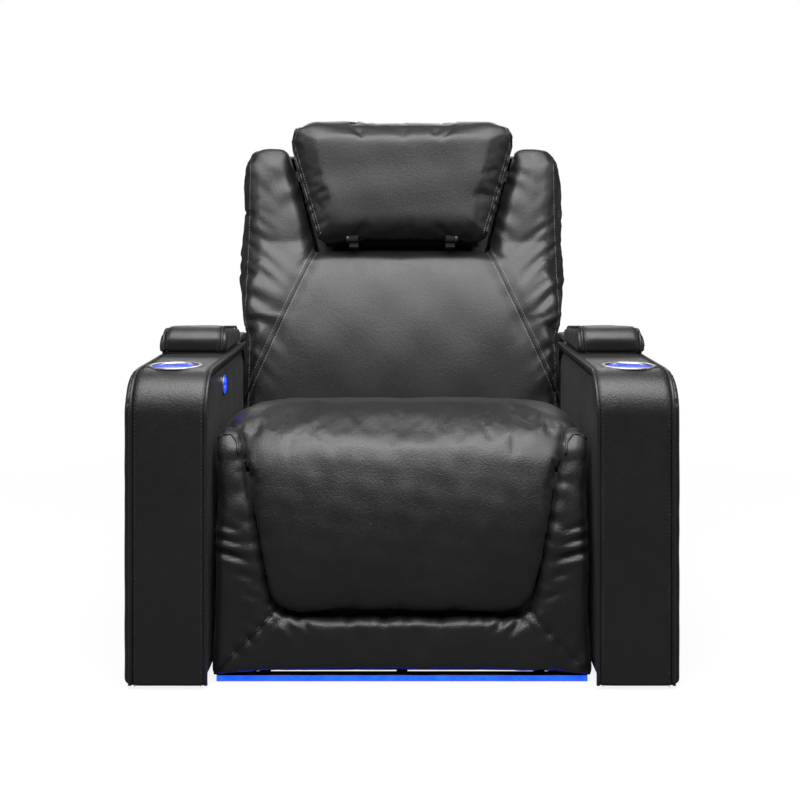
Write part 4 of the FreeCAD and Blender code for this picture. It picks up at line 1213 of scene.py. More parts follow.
@dataclass
class Lid:
    """A padded armrest lid: centre strip and side panels over one bullnosed block."""

    side: Side
    finishes: Finishes
    stitching: StitchRow
    nose: float = 0.034
    tail: float = 0.018
    heel: float = 0.006
    fall: float = 0.020
    outer_round: float = 0.028
    inner_round: float = 0.012
    seam_from_edge: float = 0.012
    piping_radius: float = 0.0026

    def profile(self, low: Sequence[float], high: Sequence[float]) -> list[Point2]:
        """The (y, z) outline of the lid, closed, from its lower front corner."""
        corners = [(low[1], low[2]), (high[1], low[2]), (high[1], high[2] - self.fall),
                   (low[1], high[2])]
        return rounded(corners, (self.heel, 0.003, self.tail, self.nose), 10)

    def rounding(self, spots: Array, low: Array, high: Array) -> Array:
        """How far the lid's top falls to its rounded ends, for each point."""
        across = spots[:, 0] * self.side.value
        inner, outer = sorted((abs(low[0]), abs(high[0])))
        fall = np.zeros(len(spots))
        for gap, radius in ((outer - across, self.outer_round), (across - inner, self.inner_round)):
            short = np.clip(radius - gap, 0.0, radius)
            fall = np.maximum(fall, radius - np.sqrt(radius**2 - short**2))
        return fall * np.clip((spots[:, 2] - low[2]) / (high[2] - low[2]), 0.0, 1.0)

    def build(self) -> None:
        """Makes the padded block, its piping, its stitches and the room for its hinge."""
        word = self.side.word
        low, high = (np.array(corner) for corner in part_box(f"{word}_lid_pad"))
        skin = 0.003
        outline = self.profile(low + skin, high - skin)
        block = prism(f"{word}_lid_leather", outline, "x", low[0] + skin, high[0] - skin)
        board_low, board_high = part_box(f"{word}_lid_board")
        remeshed(block, 0.0045, 0.009, 4)
        points, normals = points_of(block), normals_of(block)
        seams = (low[0] + self.seam_from_edge, high[0] - self.seam_from_edge)
        gap = np.minimum(np.abs(points[:, 0] - seams[0]), np.abs(points[:, 0] - seams[1]))
        upward = eased((points[:, 2] - low[2] - 0.010) / 0.02)
        middle = np.clip((points[:, 0] - seams[0]) / (seams[1] - seams[0]), 0.0, 1.0)
        swell = 0.0045 * np.sqrt(np.clip(1 - (2 * middle - 1) ** 2, 0.0, 1.0)) + 0.001
        swell -= 0.0035 * np.exp(-((gap / 0.0045) ** 2))
        swell += 0.0005 * unevenness(points, 0.07, 51 + self.side.value)
        points += normals * (swell * upward)[:, None]
        points[:, 2] -= self.rounding(points, low, high)
        points[:, 2] = np.maximum(points[:, 2], low[2] + 0.0004)
        put_points(block, points)
        mouth = [(board_low[0], board_low[1]), (board_high[0], board_low[1]),
                 (board_high[0], board_high[1]), (board_low[0], board_high[1])]
        carved(block, prism("board_tool", mouth, "z", low[2] - 0.01, board_high[2] + 0.0002))
        hinge_low, hinge_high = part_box(f"{word}_lid_hinge_leaf")
        room = [(hinge_low[0] - 0.001, hinge_low[1] - 0.001), (hinge_high[0] + 0.001, hinge_low[1] - 0.001),
                (hinge_high[0] + 0.001, high[1] + 0.01), (hinge_low[0] - 0.001, high[1] + 0.01)]
        carved(block, prism("hinge_tool", room, "z", low[2] - 0.01, hinge_high[2] + 0.002))
        smooth(block)
        dress(block, self.finishes.leather, f"{word}_lid", "black_leather", f"{word}_lid_pad")
        rows = []
        for x, inward in ((seams[0], 1), (seams[1], -1)):
            path = self.over(low, high, x, -0.0005)
            piping = tube(f"{word}_lid_piping_{'a' if inward > 0 else 'b'}", path,
                          self.piping_radius, 10)
            dress(piping, self.finishes.leather, f"{word}_lid", "black_leather")
            rows.append(self.over(low, high, x + inward * 0.0075, 0.0012))
        stitches = self.stitching.sew(f"{word}_lid_stitches", rows, self.finishes.dark_thread,
                                      Spacing=0.0065, Length=0.0045)
        dress(stitches, self.finishes.dark_thread, f"{word}_lid", "black_leather")
        LOG.info("%s lid built", word)

    def over(self, low: Array, high: Array, x: float, grow: float) -> Array:
        """A path over the lid's front, top and rear at one place across it."""
        outline = self.profile(low - grow, high + grow)
        heel_count = 22
        path = [(high[1] + grow, low[2] + 0.018)] + outline[heel_count:]
        path.append((low[1] - grow, low[2] + self.heel))
        spots = resampled(np.array(path), 0.004)
        spots = np.column_stack([np.full(len(spots), x), spots])
        spots[:, 2] -= self.rounding(spots, low, high)
        return spots


@dataclass
class Seat:
    """The seat cover: a crowned cushion that runs on over the front roll as the chaise panel."""

    plan: Plan
    finishes: Finishes
    stitching: StitchRow
    setback: float = 0.160
    roll: float = 0.138
    brow: float = 20.0
    belly: float = 0.220
    top: float = 0.4745
    fall: float = 0.049
    crowns: tuple[float, float, float] = (0.016, 0.048, 0.034)
    half_seat: float = 0.335
    half_top: float = 0.2965
    half_low: float = 0.2265
    corner: float = 0.042
    cell: float = 0.0055
    flank: float = 0.320
    pad_depth: float = 0.040

    def spine(self, front: float, low: float, rear: float) -> Array:
        """The (y, z) path along the cover's middle, from the chaise's hem to the seat's rear."""
        hub = (front + self.setback, self.top - self.roll)
        angle = math.radians(self.brow)
        begin = hub[0] - self.roll * math.cos(angle)
        start = hub[1] + self.roll * math.sin(angle)
        levels = np.linspace(low, start, 40)
        bend = ((levels - self.belly) / (start - self.belly)) ** 2
        face = np.column_stack([front + (begin - front) * bend, levels])
        depths = np.linspace(hub[0], rear, 30)[1:]
        share = (depths - hub[0]) / (rear - hub[0])
        deck = np.column_stack([depths, self.top - self.fall * share**1.4])
        turn = arc(hub, self.roll, 180 - self.brow, 90, 24)
        return resampled(np.vstack([face, turn[1:], deck]), self.cell)

    def surface(self, low: float, rear: float, front: float, under: float) -> tuple[Array, Array]:
        """The cover's show face and its hidden face.

        Args:
            low: Height of the chaise's hem.
            rear: Where the seat ends.
            front: Where the chaise stands furthest forward.
            under: Height of the seat's underside.

        Returns:
            Two grids of points.
        """
        spine = self.spine(front, low, rear)
        normals = flat_normals(spine)
        rise = np.degrees(np.arctan2(normals[:, 1], -normals[:, 0]))
        chaise, deck, tail = self.crowns
        crown = chaise + (deck - chaise) * eased((rise - self.brow) / 60.0)
        behind = np.clip((spine[:, 0] - front - self.setback) / (rear - front - self.setback), 0, 1)
        crown += (tail - deck) * behind
        up = spine[:, 1] - low
        half = self.half_low + (self.half_top - self.half_low) * np.clip(up / self.flank, 0.0, 1.0)
        short = np.clip(self.corner - up, 0.0, self.corner)
        half -= self.corner - np.sqrt(self.corner**2 - short**2)
        wide = eased((rise - 46.0) / 14.0)
        half = half * (1.0 - wide) + self.half_seat * wide
        hem = np.where(rise < self.brow + 5.0, dome(up, 0.055), 1.0)
        share = np.linspace(-1.0, 1.0, 121)
        lift_by = np.outer(crown * hem, np.sqrt(1.0 - share**6)) - crown[:, None]
        across = np.outer(half, share)
        upper = np.dstack([across, spine[:, :1] + normals[:, :1] * lift_by,
                           spine[:, 1:] + normals[:, 1:] * lift_by])
        hinge = self.plan.hinge
        core = front + self.pad_depth
        within = np.array([(core, low), (core, hinge.z - 0.030),
                           (hinge.y - 0.004, hinge.z + 0.005), (hinge.y + 0.060, hinge.z),
                           (hinge.y + 0.075, under), (rear, under)])
        total = np.linalg.norm(np.diff(within, axis=0), axis=1).sum()
        within = resampled(within, total / (len(spine) - 1))
        lower = np.dstack([across * 0.995, np.repeat(within[:, :1], len(share), axis=1),
                           np.repeat(within[:, 1:], len(share), axis=1)])
        return upper, lower

    def build(self) -> bpy.types.Object:
        """Makes the cover.

        Returns:
            The cover, which turns over the hinge of the footrest.
        """
        low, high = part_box("seat_cushion")
        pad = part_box("chaise_pad")[0]
        cover = sheet("seat_cover", *self.surface(pad[2] + 0.002, high[1] - 0.002,
                                                  pad[1] + 0.001, low[2] + 0.001))
        remeshed(cover, self.cell, 0.0, 4)
        puffed(cover, 0.006, 2.0)
        points, normals = points_of(cover), normals_of(cover)
        swell = 0.0010 * unevenness(points, 0.17, 61) + 0.0005 * unevenness(points, 0.06, 62)
        put_points(cover, points + normals * swell[:, None])
        smooth(cover)
        dress(cover, self.finishes.leather, None, "black_leather", "seat_cushion", "chaise_pad")
        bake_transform(cover)
        LOG.info("seat cover built")
        return cover


@dataclass
class Footrest:
    """The bolster border round the chaise panel, with its piping and mitre seams."""

    plan: Plan
    finishes: Finishes
    stitching: StitchRow
    skin: float = 0.005
    swell: float = 0.007
    belly: float = 0.220
    rake: float = 0.8
    crest: float = 0.440
    half_low: float = 0.2285

    def build(self) -> None:
        """Makes the border and its seams."""
        plan, hinge = self.plan, self.plan.hinge
        low, high = (np.array(corner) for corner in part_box("footrest_bolster"))
        front = low[1] + self.skin
        bend = np.linspace(self.belly, hinge.z, 12)
        face = [(front + self.rake * (z - self.belly) ** 2, z) for z in bend]
        top_round = self.crest - hinge.z
        hem = low[2] - 0.0025
        side = [(front, hem)] + face
        side += arc((face[-1][0] + top_round, hinge.z), top_round, 180, 92, 12)[1:]
        side += [(hinge.y + 0.024, hinge.z - 0.02), (front + 0.030, hinge.z - 0.03),
                 (front + 0.030, hem)]
        half = high[0] - 0.003
        border = prism("footrest_border", side, "x", -half, half)
        bounds = [(-half, hem), (half, hem), (half, self.crest), (-half, self.crest)]
        zone = rounded(bounds, (0.006, 0.006, 0.020, 0.020), 8)
        carved(border, prism("border_zone", zone, "y", front - 0.05, hinge.y + 0.08), "INTERSECT")
        pad_low, pad_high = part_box("chaise_pad")
        half_top, half_low, bottom = pad_high[0] + 0.0005, self.half_low, pad_low[2] - 0.0012
        window = [(-half_low, bottom), (half_low, bottom), (half_top, hinge.z + 0.045),
                  (half_top, hinge.z + 0.09), (-half_top, hinge.z + 0.09),
                  (-half_top, hinge.z + 0.045)]
        inner = rounded(window, (0.042, 0.042, 0.03, 0, 0, 0.03), 10)
        carved(border, prism("window_tool", inner, "y", front - 0.06, hinge.y + 0.10))
        remeshed(border, 0.005, 0.010, 3)
        puffed(border, 0.006, 3.0)
        points, normals = points_of(border), normals_of(border)
        flat = points[:, [0, 2]]
        edges = np.array(inner[-1:] + inner[:-1])
        gap_in, run_in = beside(flat, edges)
        outer = np.array([(-half, hinge.z + 0.08), (-half, low[2]), (half, low[2]),
                          (half, hinge.z + 0.08)])
        gap_out, _ = beside(flat, outer)
        forward = eased((-normals[:, 1] + normals[:, 2] - 0.05) / 0.5)
        fall = np.clip((hinge.z - points[:, 2]) / 0.3, 0.0, 1.0)
        swell = self.swell * dome(np.minimum(gap_in, gap_out), 0.05) * forward
        swell += gathers(gap_in, run_in, float(run_in.max()), 0.034, 0.0022, 0.030, 71) * forward
        for crease in self.creases():
            swell += crease.height(flat) * forward
        for sign in (-1, 1):
            seam = np.array([(sign * self.half_low, bottom + 0.012), (sign * half, low[2])])
            gap, _ = beside(flat, resampled(seam, 0.01))
            swell -= 0.0048 * np.exp(-((gap / 0.0042) ** 2)) * forward
            swell += gathers(gap, beside(flat, seam)[1], 0.17, 0.030, 0.0026, 0.028,
                             74 + sign) * forward
        swell += 0.0010 * unevenness(points, 0.07, 72) * forward * (0.5 + fall)
        points += normals * swell[:, None]
        put_points(border, points)
        smooth(border)
        dress(border, self.finishes.leather, "footrest", "black_leather", "footrest_bolster")
        self.trims(border, half, low[2], bottom)
        LOG.info("footrest border built")

    def trims(self, border: bpy.types.Object, half: float, low: float, bottom: float) -> None:
        """Piping over the bolsters' upper ends and down their mitre seams."""
        crest, front = self.crest, self.plan.front - 0.1
        for side in Side:
            arch = [(half + 0.001, crest - 0.085), (half, crest - 0.012), (half - 0.010, crest - 0.002),
                    (half - 0.026, crest - 0.001), (half - 0.038, crest - 0.014),
                    (half - 0.042, crest - 0.035)]
            mitre = [(self.half_low, bottom + 0.012), (half - 0.003, low + 0.004)]
            for word, path, radius in (("arch", arch, 0.0028), ("mitre", mitre, 0.0016)):
                spots = resampled(np.array(path), 0.004)
                spots = np.column_stack([spots[:, 0] * side.value, np.full(len(spots), front),
                                         spots[:, 1]])
                seam = laid(border, spots, (0.0, 1.0, 0.0), -0.0004)
                piping = tube(f"footrest_{word}_{side.word}", seam, radius, 8)
                dress(piping, self.finishes.leather, "footrest", "black_leather")

    def creases(self) -> list[Crease]:
        """The long folds at the bolsters' mid height and the pleats at their lower corners."""
        folds = []
        for sign in (-1, 1):
            folds += [Crease((sign * 0.335, 0.238), (sign * 0.272, 0.222), 0.0075, 0.010),
                      Crease((sign * 0.337, 0.262), (sign * 0.285, 0.252), 0.0048, 0.009),
                      Crease((sign * 0.325, 0.285), (sign * 0.290, 0.272), 0.0034, 0.009),
                      Crease((sign * 0.300, 0.200), (sign * 0.262, 0.190), 0.0034, 0.010),
                      Crease((sign * 0.285, 0.165), (sign * 0.250, 0.150), 0.0030, 0.008),
                      Crease((sign * 0.215, 0.112), (sign * 0.190, 0.086), 0.0042, 0.008),
                      Crease((sign * 0.185, 0.110), (sign * 0.160, 0.092), 0.0032, 0.007)]
        return folds


def laid(piece: bpy.types.Object, spots: Array, way: Sequence[float], raise_by: float) -> Array:
    """Drops points onto a piece along a direction.

    Args:
        piece: The piece that they land on.
        spots: Points well outside it.
        way: The direction that they drop in.
        raise_by: How far above the surface they stop.

    Returns:
        The points that landed.
    """
    surface = BVHTree.FromPolygons([v.co for v in piece.data.vertices],
                                   [tuple(face.vertices) for face in piece.data.polygons])
    landed = []
    for spot in spots:
        place, normal, _, _ = surface.ray_cast(Vector(spot), Vector(way))
        if place is not None:
            landed.append(place + normal * raise_by)
    return np.array(landed)


@dataclass
class Back:
    """The reclining back: one padded cover of three panels, and the shell behind it."""

    plan: Plan
    finishes: Finishes
    stitching: StitchRow
    lower_half: float = 0.352
    upper_half: float = 0.364
    flare: tuple[float, float] = (0.290, 0.330)
    bottom: float = 0.060
    top: float = 0.737
    notch_half: tuple[float, float] = (0.200, 0.266)
    notch_bottom: float = 0.494
    seam_low: float = 0.148
    front: float = -0.157
    rear: float = -0.0535
    corner: float = 0.055
    skin: float = 0.034
    lumbar: tuple[float, float, float] = (0.030, 0.250, 0.220)
    cross_seam: float = 0.250
    upright_seam: float = 0.240
    seam_ends: tuple[float, float] = (0.345, 0.700)
    stitch_aside: float = 0.0065

    def outline(self) -> list[Point2]:
        """The cover's outline from the front, with its cut-out for the headrest."""
        low, high = self.lower_half, self.upper_half
        right = [(low, self.bottom), (low, self.flare[0]), (high, self.flare[1]),
                 (high, self.top), (self.notch_half[1], self.top),
                 (self.notch_half[0], self.notch_bottom)]
        left = [(-x, z) for x, z in reversed(right)]
        radii = [0.03, 0.04, 0.04, self.corner, 0.020, 0.010]
        return rounded(right + left, radii + radii[::-1], 8)

    def seam(self, side: Side, step: float = 0.006) -> Array:
        """The diagonal seam between the centre panel and a wing."""
        ends = [(side.value * self.lower_half, self.seam_low),
                (side.value * self.notch_half[0], self.notch_bottom)]
        return resampled(np.array(ends), step)

    def side_seam(self, side: Side) -> Array:
        """The outer seam of a wing, from below upwards."""
        path = [(self.lower_half, self.bottom), (self.lower_half, self.flare[0]),
                (self.upper_half, self.flare[1]), (self.upper_half, self.top)]
        curve = rounded(path, (0, 0.04, 0.04, 0), 6)
        return np.array([(side.value * x, z) for x, z in curve])

    def cover(self) -> bpy.types.Object:
        """The padded front: centre panel and wings, crowned, gathered and seamed.

        Returns:
            The cover, at its lean.
        """
        outline = self.outline()
        piece = prism("back_cover", outline, "y", self.front + self.skin, self.rear)
        remeshed(piece, 0.0055, 0.018, 4)
        puffed(piece, 0.010, 3.0)
        points, normals = points_of(piece), normals_of(piece)
        flat = points[:, [0, 2]]
        facing = eased((-normals[:, 1] - 0.05) / 0.5)
        border = inside(flat, outline)
        depth, level, reach = self.lumbar
        swell = 0.010 * dome(border, 0.085)
        bulge = depth * np.clip(1.0 - ((flat[:, 1] - level) / reach) ** 2, -0.4, 1.0)
        ahead = (self.rear - points[:, 1]) / (self.rear - self.front)
        for side in Side:
            gap, run = beside(flat, self.seam(side))
            swell -= 0.006 * np.exp(-((gap / 0.020) ** 2))
            swell += gathers(gap, run, float(run.max()), 0.070, 0.0008, 0.05, 80 + side.value)
            outer = self.side_seam(side)
            gap, run = beside(flat, outer)
            strength = 0.35 + np.exp(-(((flat[:, 1] - 0.40) / 0.13) ** 2))
            folds = gathers(gap, run, float(run.max()), 0.036, 0.0042, 0.062, 90 + side.value, 0.75)
            swell += strength * folds * eased(gap / 0.012)
            notch = np.array([(side.value * self.notch_half[0], self.notch_bottom),
                              (side.value * self.notch_half[1], self.top)])
            gap, run = beside(flat, notch)
            swell += gathers(gap, run, float(run.max()), 0.045, 0.0022, 0.05, 94 + side.value, 0.5)
        swell += 0.0011 * unevenness(points, 0.15, 99)
        points += normals * (swell * facing)[:, None]
        points[:, 1] -= bulge * eased(ahead)
        put_points(piece, self.plan.leaned(points))
        return smooth(piece)

    def trims(self, cover: bpy.types.Object) -> None:
        """Raised diagonal seams with two rows of stitches each, and side piping."""
        rows = []
        for side in Side:
            middle = self.seam(side)
            way = middle[-1] - middle[0]
            aside = np.array([-way[1], way[0]]) / np.linalg.norm(way)
            ridge = self.drop(cover, middle, -0.0012)
            band = tube(f"back_seam_{side.word}", ridge, 0.0035, 8)
            dress(band, self.finishes.leather, "back", "black_leather")
            for shift in (-0.0062, 0.0062):
                rows.append(self.drop(cover, middle + aside * shift, 0.0004))
            edge = resampled(self.side_seam(side), 0.007)
            inset = np.column_stack([edge[:, 0], np.full(len(edge), self.rear - 0.0005), edge[:, 1]])
            inset[:, 0] += side.value * 0.0005
            rail = self.plan.leaned(inset[inset[:, 2] < self.top - self.corner])
            piping = tube(f"back_piping_{side.word}", rail, 0.0030, 8)
            dress(piping, self.finishes.leather, "back", "black_leather")
            near = edge.copy()
            near[:, 0] -= side.value * 0.010
            rows.append(self.drop(cover, near[(near[:, 1] > 0.10) & (near[:, 1] < 0.70)], 0.0004))
        stitches = self.stitching.sew("back_stitches", rows, self.finishes.thread,
                                      Spacing=0.0065, Length=0.0046)
        dress(stitches, self.finishes.thread, "back", "black_leather")

    def drop(self, cover: bpy.types.Object, flat: Array, raise_by: float) -> Array:
        """Lays flat (x, z) places on the cover's front."""
        out = np.column_stack([flat[:, 0], np.full(len(flat), self.front - 0.2), flat[:, 1]])
        way = (0.0, math.cos(self.plan.lean), -math.sin(self.plan.lean))
        return laid(cover, self.plan.leaned(out), way, raise_by)

    def shell(self, node: bpy.types.Object) -> bpy.types.Object:
        """The padded shell round the sides, top and rear of the back frame.

        Args:
            node: The construction's own shell.

        Returns:
            The leather shell.
        """
        piece = link("back_shell_leather", node.data.copy())
        outward(piece)
        remeshed(piece, 0.006, 0.0, 3)
        points, normals = points_of(piece), normals_of(piece)
        local_y, local_z, rearward = self.plan.upright(points, normals)
        flat = np.column_stack([points[:, 0], local_z])
        swell = np.zeros(len(points))
        backside = eased((rearward - 0.3) / 0.4) * (local_y > 0.06)
        end, top = self.seam_ends
        seams = [np.array([(-end, self.cross_seam), (end, self.cross_seam)])]
        seams += [np.array([(x, self.cross_seam), (x, top)])
                  for x in (-self.upright_seam, self.upright_seam)]
        for seam in seams:
            gap, _ = beside(flat, resampled(seam, 0.02))
            swell -= backside * 0.0028 * np.exp(-((gap / 0.006) ** 2))
        swell += backside * 0.0012 * unevenness(points, 0.25, 101)
        sideways = eased((np.abs(normals[:, 0]) - 0.5) / 0.4) * (np.abs(points[:, 0]) > 0.31)
        middle = np.clip(1 - np.abs(local_y - 0.02) / 0.07, 0.0, 1.0)
        swell += sideways * 0.0014 * eased(middle)
        points += normals * swell[:, None]
        put_points(piece, points)
        return smooth(piece)

    def shell_trims(self, shell: bpy.types.Object) -> None:
        """Stitches beside the seams of the shell's rear."""
        aside, end, top = self.stitch_aside, self.seam_ends[0] - 0.020, self.seam_ends[1] - 0.010
        low = self.cross_seam + 0.012
        lines = [((-end, self.cross_seam + shift), (end, self.cross_seam + shift))
                 for shift in (-aside, aside)]
        lines += [((side.value * self.upright_seam + shift, low),
                   (side.value * self.upright_seam + shift, top))
                  for side in Side for shift in (-aside, aside)]
        rows = [self.drop_behind(shell, resampled(np.array(line), 0.006)) for line in lines]
        stitches = self.stitching.sew("shell_stitches", rows, self.finishes.thread)
        dress(stitches, self.finishes.thread, "back", "black_leather")

    def drop_behind(self, shell: bpy.types.Object, flat: Array) -> Array:
        """Lays flat (x, z) places on the shell's rear."""
        out = np.column_stack([flat[:, 0], np.full(len(flat), 0.4), flat[:, 1]])
        way = (0.0, -math.cos(self.plan.lean), math.sin(self.plan.lean))
        return laid(shell, self.plan.leaned(out), way, 0.0004)

    def build(self, nodes: dict) -> None:
        """Makes the cover, the shell and their seams."""
        cover = self.cover()
        dress(cover, self.finishes.leather, "back", "black_leather", "back_centre_cushion",
              "left_back_wing", "right_back_wing")
        self.trims(cover)
        shell = self.shell(nodes["back_shell"])
        dress(shell, self.finishes.leather, "back", "black_leather", "back_shell")
        self.shell_trims(shell)
        LOG.info("back built")


@dataclass
class Headrest:
    """The tilting pillow: a crowned trapezoid with gathered side seams and gussets."""

    plan: Plan
    finishes: Finishes
    stitching: StitchRow
    bottom_half: float = 0.196
    top_half: float = 0.262
    bottom: float = 0.505
    top: float = 0.790
    front: float = -0.203
    rear: float = -0.096
    skin: float = 0.006
    seam_y: float = -0.138
    slack: float = 0.42
    shoulder: float = 0.062
    tuck: float = 0.028

    def outline(self) -> list[Point2]:
        """The pillow's outline from the front."""
        half_low, half_high = self.bottom_half - 0.003, self.top_half - 0.003
        right = [(half_low, self.bottom + 0.003), (half_high, self.top - 0.026),
                 (half_high - 0.050, self.top)]
        left = [(-x, z) for x, z in reversed(right)]
        radii = [0.026, 0.028, 0.07]
        return rounded(right + left, radii + radii[::-1], 8)

    def build(self) -> None:
        """Makes the pillow, its seams and its stitches."""
        outline = self.outline()
        pillow = prism("headrest_leather", outline, "y", self.front + self.skin, self.rear)
        remeshed(pillow, 0.0055, 0.016, 3)
        points = points_of(pillow)
        border = inside(points[:, [0, 2]], outline)
        plump = self.slack + (1.0 - self.slack) * dome(border, self.shoulder)
        points[:, 1] = self.seam_y + (points[:, 1] - self.seam_y) * plump
        ahead = np.clip((self.seam_y - points[:, 1]) / (self.seam_y - self.front), 0.0, 1.0)
        points[:, 1] += self.tuck * ahead * (self.top - points[:, 2]) / (self.top - self.bottom)
        put_points(pillow, points)
        smooth(pillow)
        puffed(pillow, 0.008, 3.0)
        put_points(pillow, self.plan.leaned(points_of(pillow)))
        smooth(pillow)
        points, normals = points_of(pillow), normals_of(pillow)
        local_y, local_z, rearward = self.plan.upright(points, normals)
        forward = -rearward
        flat = np.column_stack([points[:, 0], local_z])
        border = inside(flat, outline)
        facing = eased((forward + 0.1) / 0.5)
        swell = 0.004 * dome(border, 0.10) * facing
        for side in Side:
            path = np.array([(side.value * self.bottom_half, self.bottom + 0.01),
                             (side.value * self.top_half, self.top - 0.045),
                             (side.value * (self.top_half - 0.02), self.top)])
            gap, run = beside(flat, path)
            swell += facing * gathers(gap, run, float(run.max()), 0.021, 0.0028, 0.026,
                                      110 + side.value)
            ring = np.abs(local_y - (self.front + 0.045))
            swell -= 0.003 * np.exp(-((ring / 0.006) ** 2)) * (gap < 0.02) * (1 - facing)
        swell += 0.0009 * unevenness(points, 0.12, 119)
        points += normals * swell[:, None]
        put_points(pillow, points)
        smooth(pillow)
        dress(pillow, self.finishes.leather, "headrest", "black_leather", "headrest_pillow")
        self.trims(pillow)
        LOG.info("headrest built")

    def trims(self, pillow: bpy.types.Object) -> None:
        """Piping and stitches down both side seams."""
        rows = []
        for side in Side:
            path = [(self.bottom_half - 0.004, self.bottom + 0.020),
                    (self.top_half - 0.006, self.top - 0.055), (self.top_half - 0.018, self.top - 0.020)]
            spots = resampled(np.array([(side.value * x, z) for x, z in path]), 0.006)
            out = np.column_stack([spots[:, 0], np.full(len(spots), self.front - 0.2), spots[:, 1]])
            way = (0.0, math.cos(self.plan.lean), -math.sin(self.plan.lean))
            seam = laid(pillow, self.plan.leaned(out), way, -0.0005)
            piping = tube(f"headrest_piping_{side.word}", seam, 0.0026, 8)
            dress(piping, self.finishes.leather, "headrest", "black_leather")
            out[:, 0] -= side.value * 0.007
            rows.append(laid(pillow, self.plan.leaned(out), way, 0.0004))
        stitches = self.stitching.sew("headrest_stitches", rows, self.finishes.thread,
                                      Spacing=0.0065, Length=0.0046)
        dress(stitches, self.finishes.thread, "headrest", "black_leather")


@dataclass(frozen=True)
class Lamp:
    """One soft area lamp, with its place, target and size in metres and its power in watts."""

    name: str
    place: tuple[float, float, float]
    target: tuple[float, float, float]
    size: Point2
    power: float

    def build(self) -> None:
        """Hangs the lamp."""
        light = bpy.data.lights.new(self.name, "AREA")
        light.shape = "RECTANGLE"
        light.size, light.size_y = self.size
        light.energy = self.power
        lamp = bpy.data.objects.new(self.name, light)
        bpy.context.scene.collection.objects.link(lamp)
        way = Vector(self.target) - Vector(self.place)
        lamp.matrix_world = (Matrix.Translation(self.place)
                             @ way.to_track_quat("-Z", "Y").to_matrix().to_4x4())


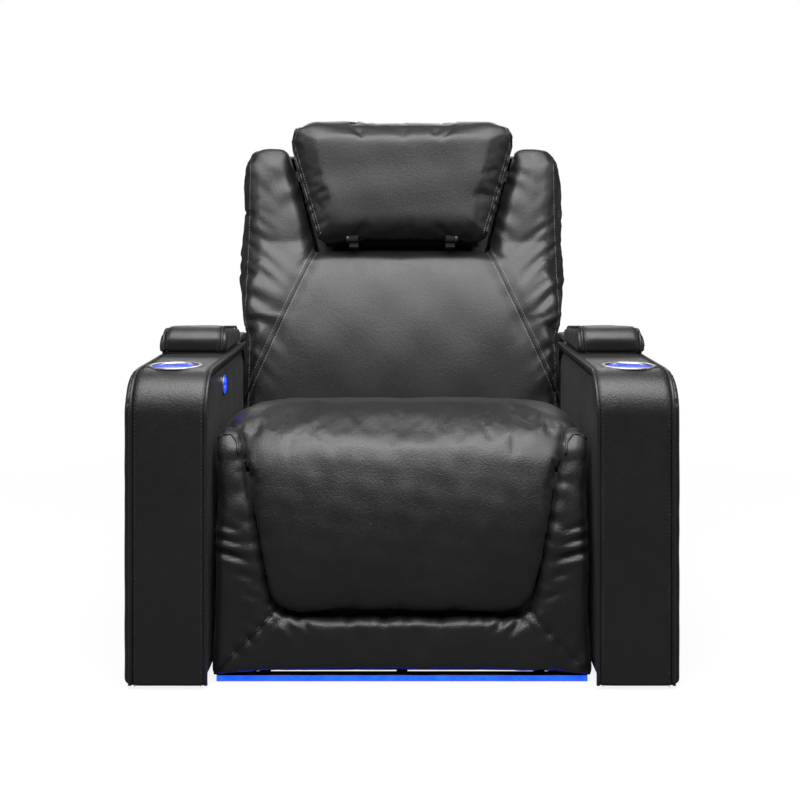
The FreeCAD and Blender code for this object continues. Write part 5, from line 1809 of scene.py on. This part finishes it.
@dataclass(frozen=True)
class Studio:
    """The plain room: pale floor, soft lamps and the camera."""

    eye: tuple[float, float, float] = (0.0, -2.532, 0.838)
    lens: float = 53.1
    shift: tuple[float, float] = (-0.0025, -0.231)
    reach: float = 14.0
    shadow_end: float = 1.9
    shadow_depth: float = 0.15
    bounce: float = 0.12
    sky: float = 0.04
    lamps: tuple[Lamp, ...] = (
        Lamp("softbox", (0.0, -1.20, 2.65), (0.0, -0.20, 0.6), (3.0, 2.2), 175.0),
        Lamp("front_fill", (0.0, -3.6, 2.3), (0.0, 0.0, 0.6), (3.2, 0.8), 2.5),
        Lamp("side_right", (2.5, -0.9, 1.5), (0.2, 0.0, 0.5), (0.4, 1.8), 10.0),
        Lamp("side_left", (-2.5, -0.9, 1.5), (-0.2, 0.0, 0.5), (0.4, 1.8), 10.0),
        Lamp("rear", (0.0, 2.4, 2.2), (0.0, 0.2, 0.7), (2.4, 1.0), 35.0),
    )

    def floor(self) -> None:
        """A pale floor that shows white to the camera and keeps the shadow."""
        mesh = bpy.data.meshes.new("floor")
        reach = self.reach
        mesh.from_pydata([(-reach, -reach, 0.0), (reach, -reach, 0.0), (reach, reach, 0.0),
                          (-reach, reach, 0.0)], [], [(0, 1, 2, 3)])
        floor = link("floor", mesh)
        tree = Tree("pale_floor")
        grain = tree.noise(tree.place(), 3.0)
        tree.set(Base_Color=tree.mix(grain, (0.78, 0.78, 0.78), (0.82, 0.82, 0.82)), Roughness=0.9)
        tree.shader.inputs["Specular IOR Level"].default_value = 0.1
        seen = tree.add("ShaderNodeLightPath", output="Is Camera Ray")
        away = tree.add("ShaderNodeVectorMath", {"operation": "LENGTH"}, {0: tree.place()},
                        output="Value")
        near = (away * -1.0 + self.shadow_end).clamped(0.0, 0.8)
        white = tree.nodes.new("ShaderNodeEmission")
        dull = tree.nodes.new("ShaderNodeBsdfDiffuse")
        dull.inputs["Color"].default_value = (self.bounce, self.bounce, self.bounce, 1.0)
        lit = tree.nodes.new("ShaderNodeMixShader")
        shown = tree.nodes.new("ShaderNodeMixShader")
        tree.feed(lit.inputs[0], near * -self.shadow_depth + 1.0)
        tree.feed(shown.inputs[0], seen)
        tree.links.new(tree.shader.outputs[0], lit.inputs[1])
        tree.links.new(white.outputs[0], lit.inputs[2])
        tree.links.new(dull.outputs[0], shown.inputs[1])
        tree.links.new(lit.outputs[0], shown.inputs[2])
        tree.links.new(shown.outputs[0], tree.output.inputs["Surface"])
        floor.data.materials.append(tree.material)

    def world(self) -> None:
        """A dim even sky that shows white to the camera."""
        world = bpy.data.worlds.new("studio")
        world.use_nodes = True
        nodes, links = world.node_tree.nodes, world.node_tree.links
        sky = nodes["Background"]
        sky.inputs["Color"].default_value = (1.0, 1.0, 1.0, 1.0)
        path = nodes.new("ShaderNodeLightPath")
        level = nodes.new("ShaderNodeMath")
        level.operation = "MULTIPLY_ADD"
        level.inputs[1].default_value = 1.0 - self.sky
        level.inputs[2].default_value = self.sky
        links.new(path.outputs["Is Camera Ray"], level.inputs[0])
        links.new(level.outputs[0], sky.inputs["Strength"])
        bpy.context.scene.world = world

    def camera(self) -> None:
        """The camera at the photograph's place."""
        data = bpy.data.cameras.new("camera")
        data.lens = self.lens
        data.sensor_width = 36.0
        data.shift_x, data.shift_y = self.shift
        camera = bpy.data.objects.new("camera", data)
        bpy.context.scene.collection.objects.link(camera)
        camera.matrix_world = (Matrix.Translation(self.eye)
                               @ Matrix.Rotation(math.radians(90), 4, "X"))
        bpy.context.scene.camera = camera

    def build(self) -> None:
        """Makes the room."""
        self.camera()
        self.floor()
        self.world()
        for lamp in self.lamps:
            lamp.build()
        bpy.context.scene.view_settings.view_transform = "Standard"


def finish_construction(frame: dict, finishes: Finishes) -> None:
    """Gives every construction node that stays in view its finish."""
    slots = {part["node"]: part["material_slot"] for part in frame["record"]["subparts"]}
    for name, node in frame["nodes"].items():
        finish = finishes.by_slot[slots[name]]
        if name in ("recline_button", "return_button", "control_light"):
            finish = finishes.cup_glow
        # The headrest brackets get the near-black painted shade of the gap under the pillow
        if name == "headrest_brackets":
            finish = finishes.shade
        for place in range(len(node.material_slots)):
            node.material_slots[place].material = finish


def main() -> None:
    """Builds the looks round the construction."""
    logging.basicConfig(level=logging.INFO, format="%(message)s")
    for leftover in list(bpy.data.objects):
        bpy.data.objects.remove(leftover)
    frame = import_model()
    plan = Plan.read(frame)
    finishes = Finishes()
    stitching = StitchRow()
    finish_construction(frame, finishes)
    Studio().build()
    for side in Side:
        Arm(side, plan, finishes, stitching).build()
        Lid(side, finishes, stitching).build()
    Seat(plan, finishes, stitching).build()
    Footrest(plan, finishes, stitching).build()
    Back(plan, finishes, stitching).build(frame["nodes"])
    Headrest(plan, finishes, stitching).build()
    LOG.info("sizes written")


if __name__ == "__main__":
    main()
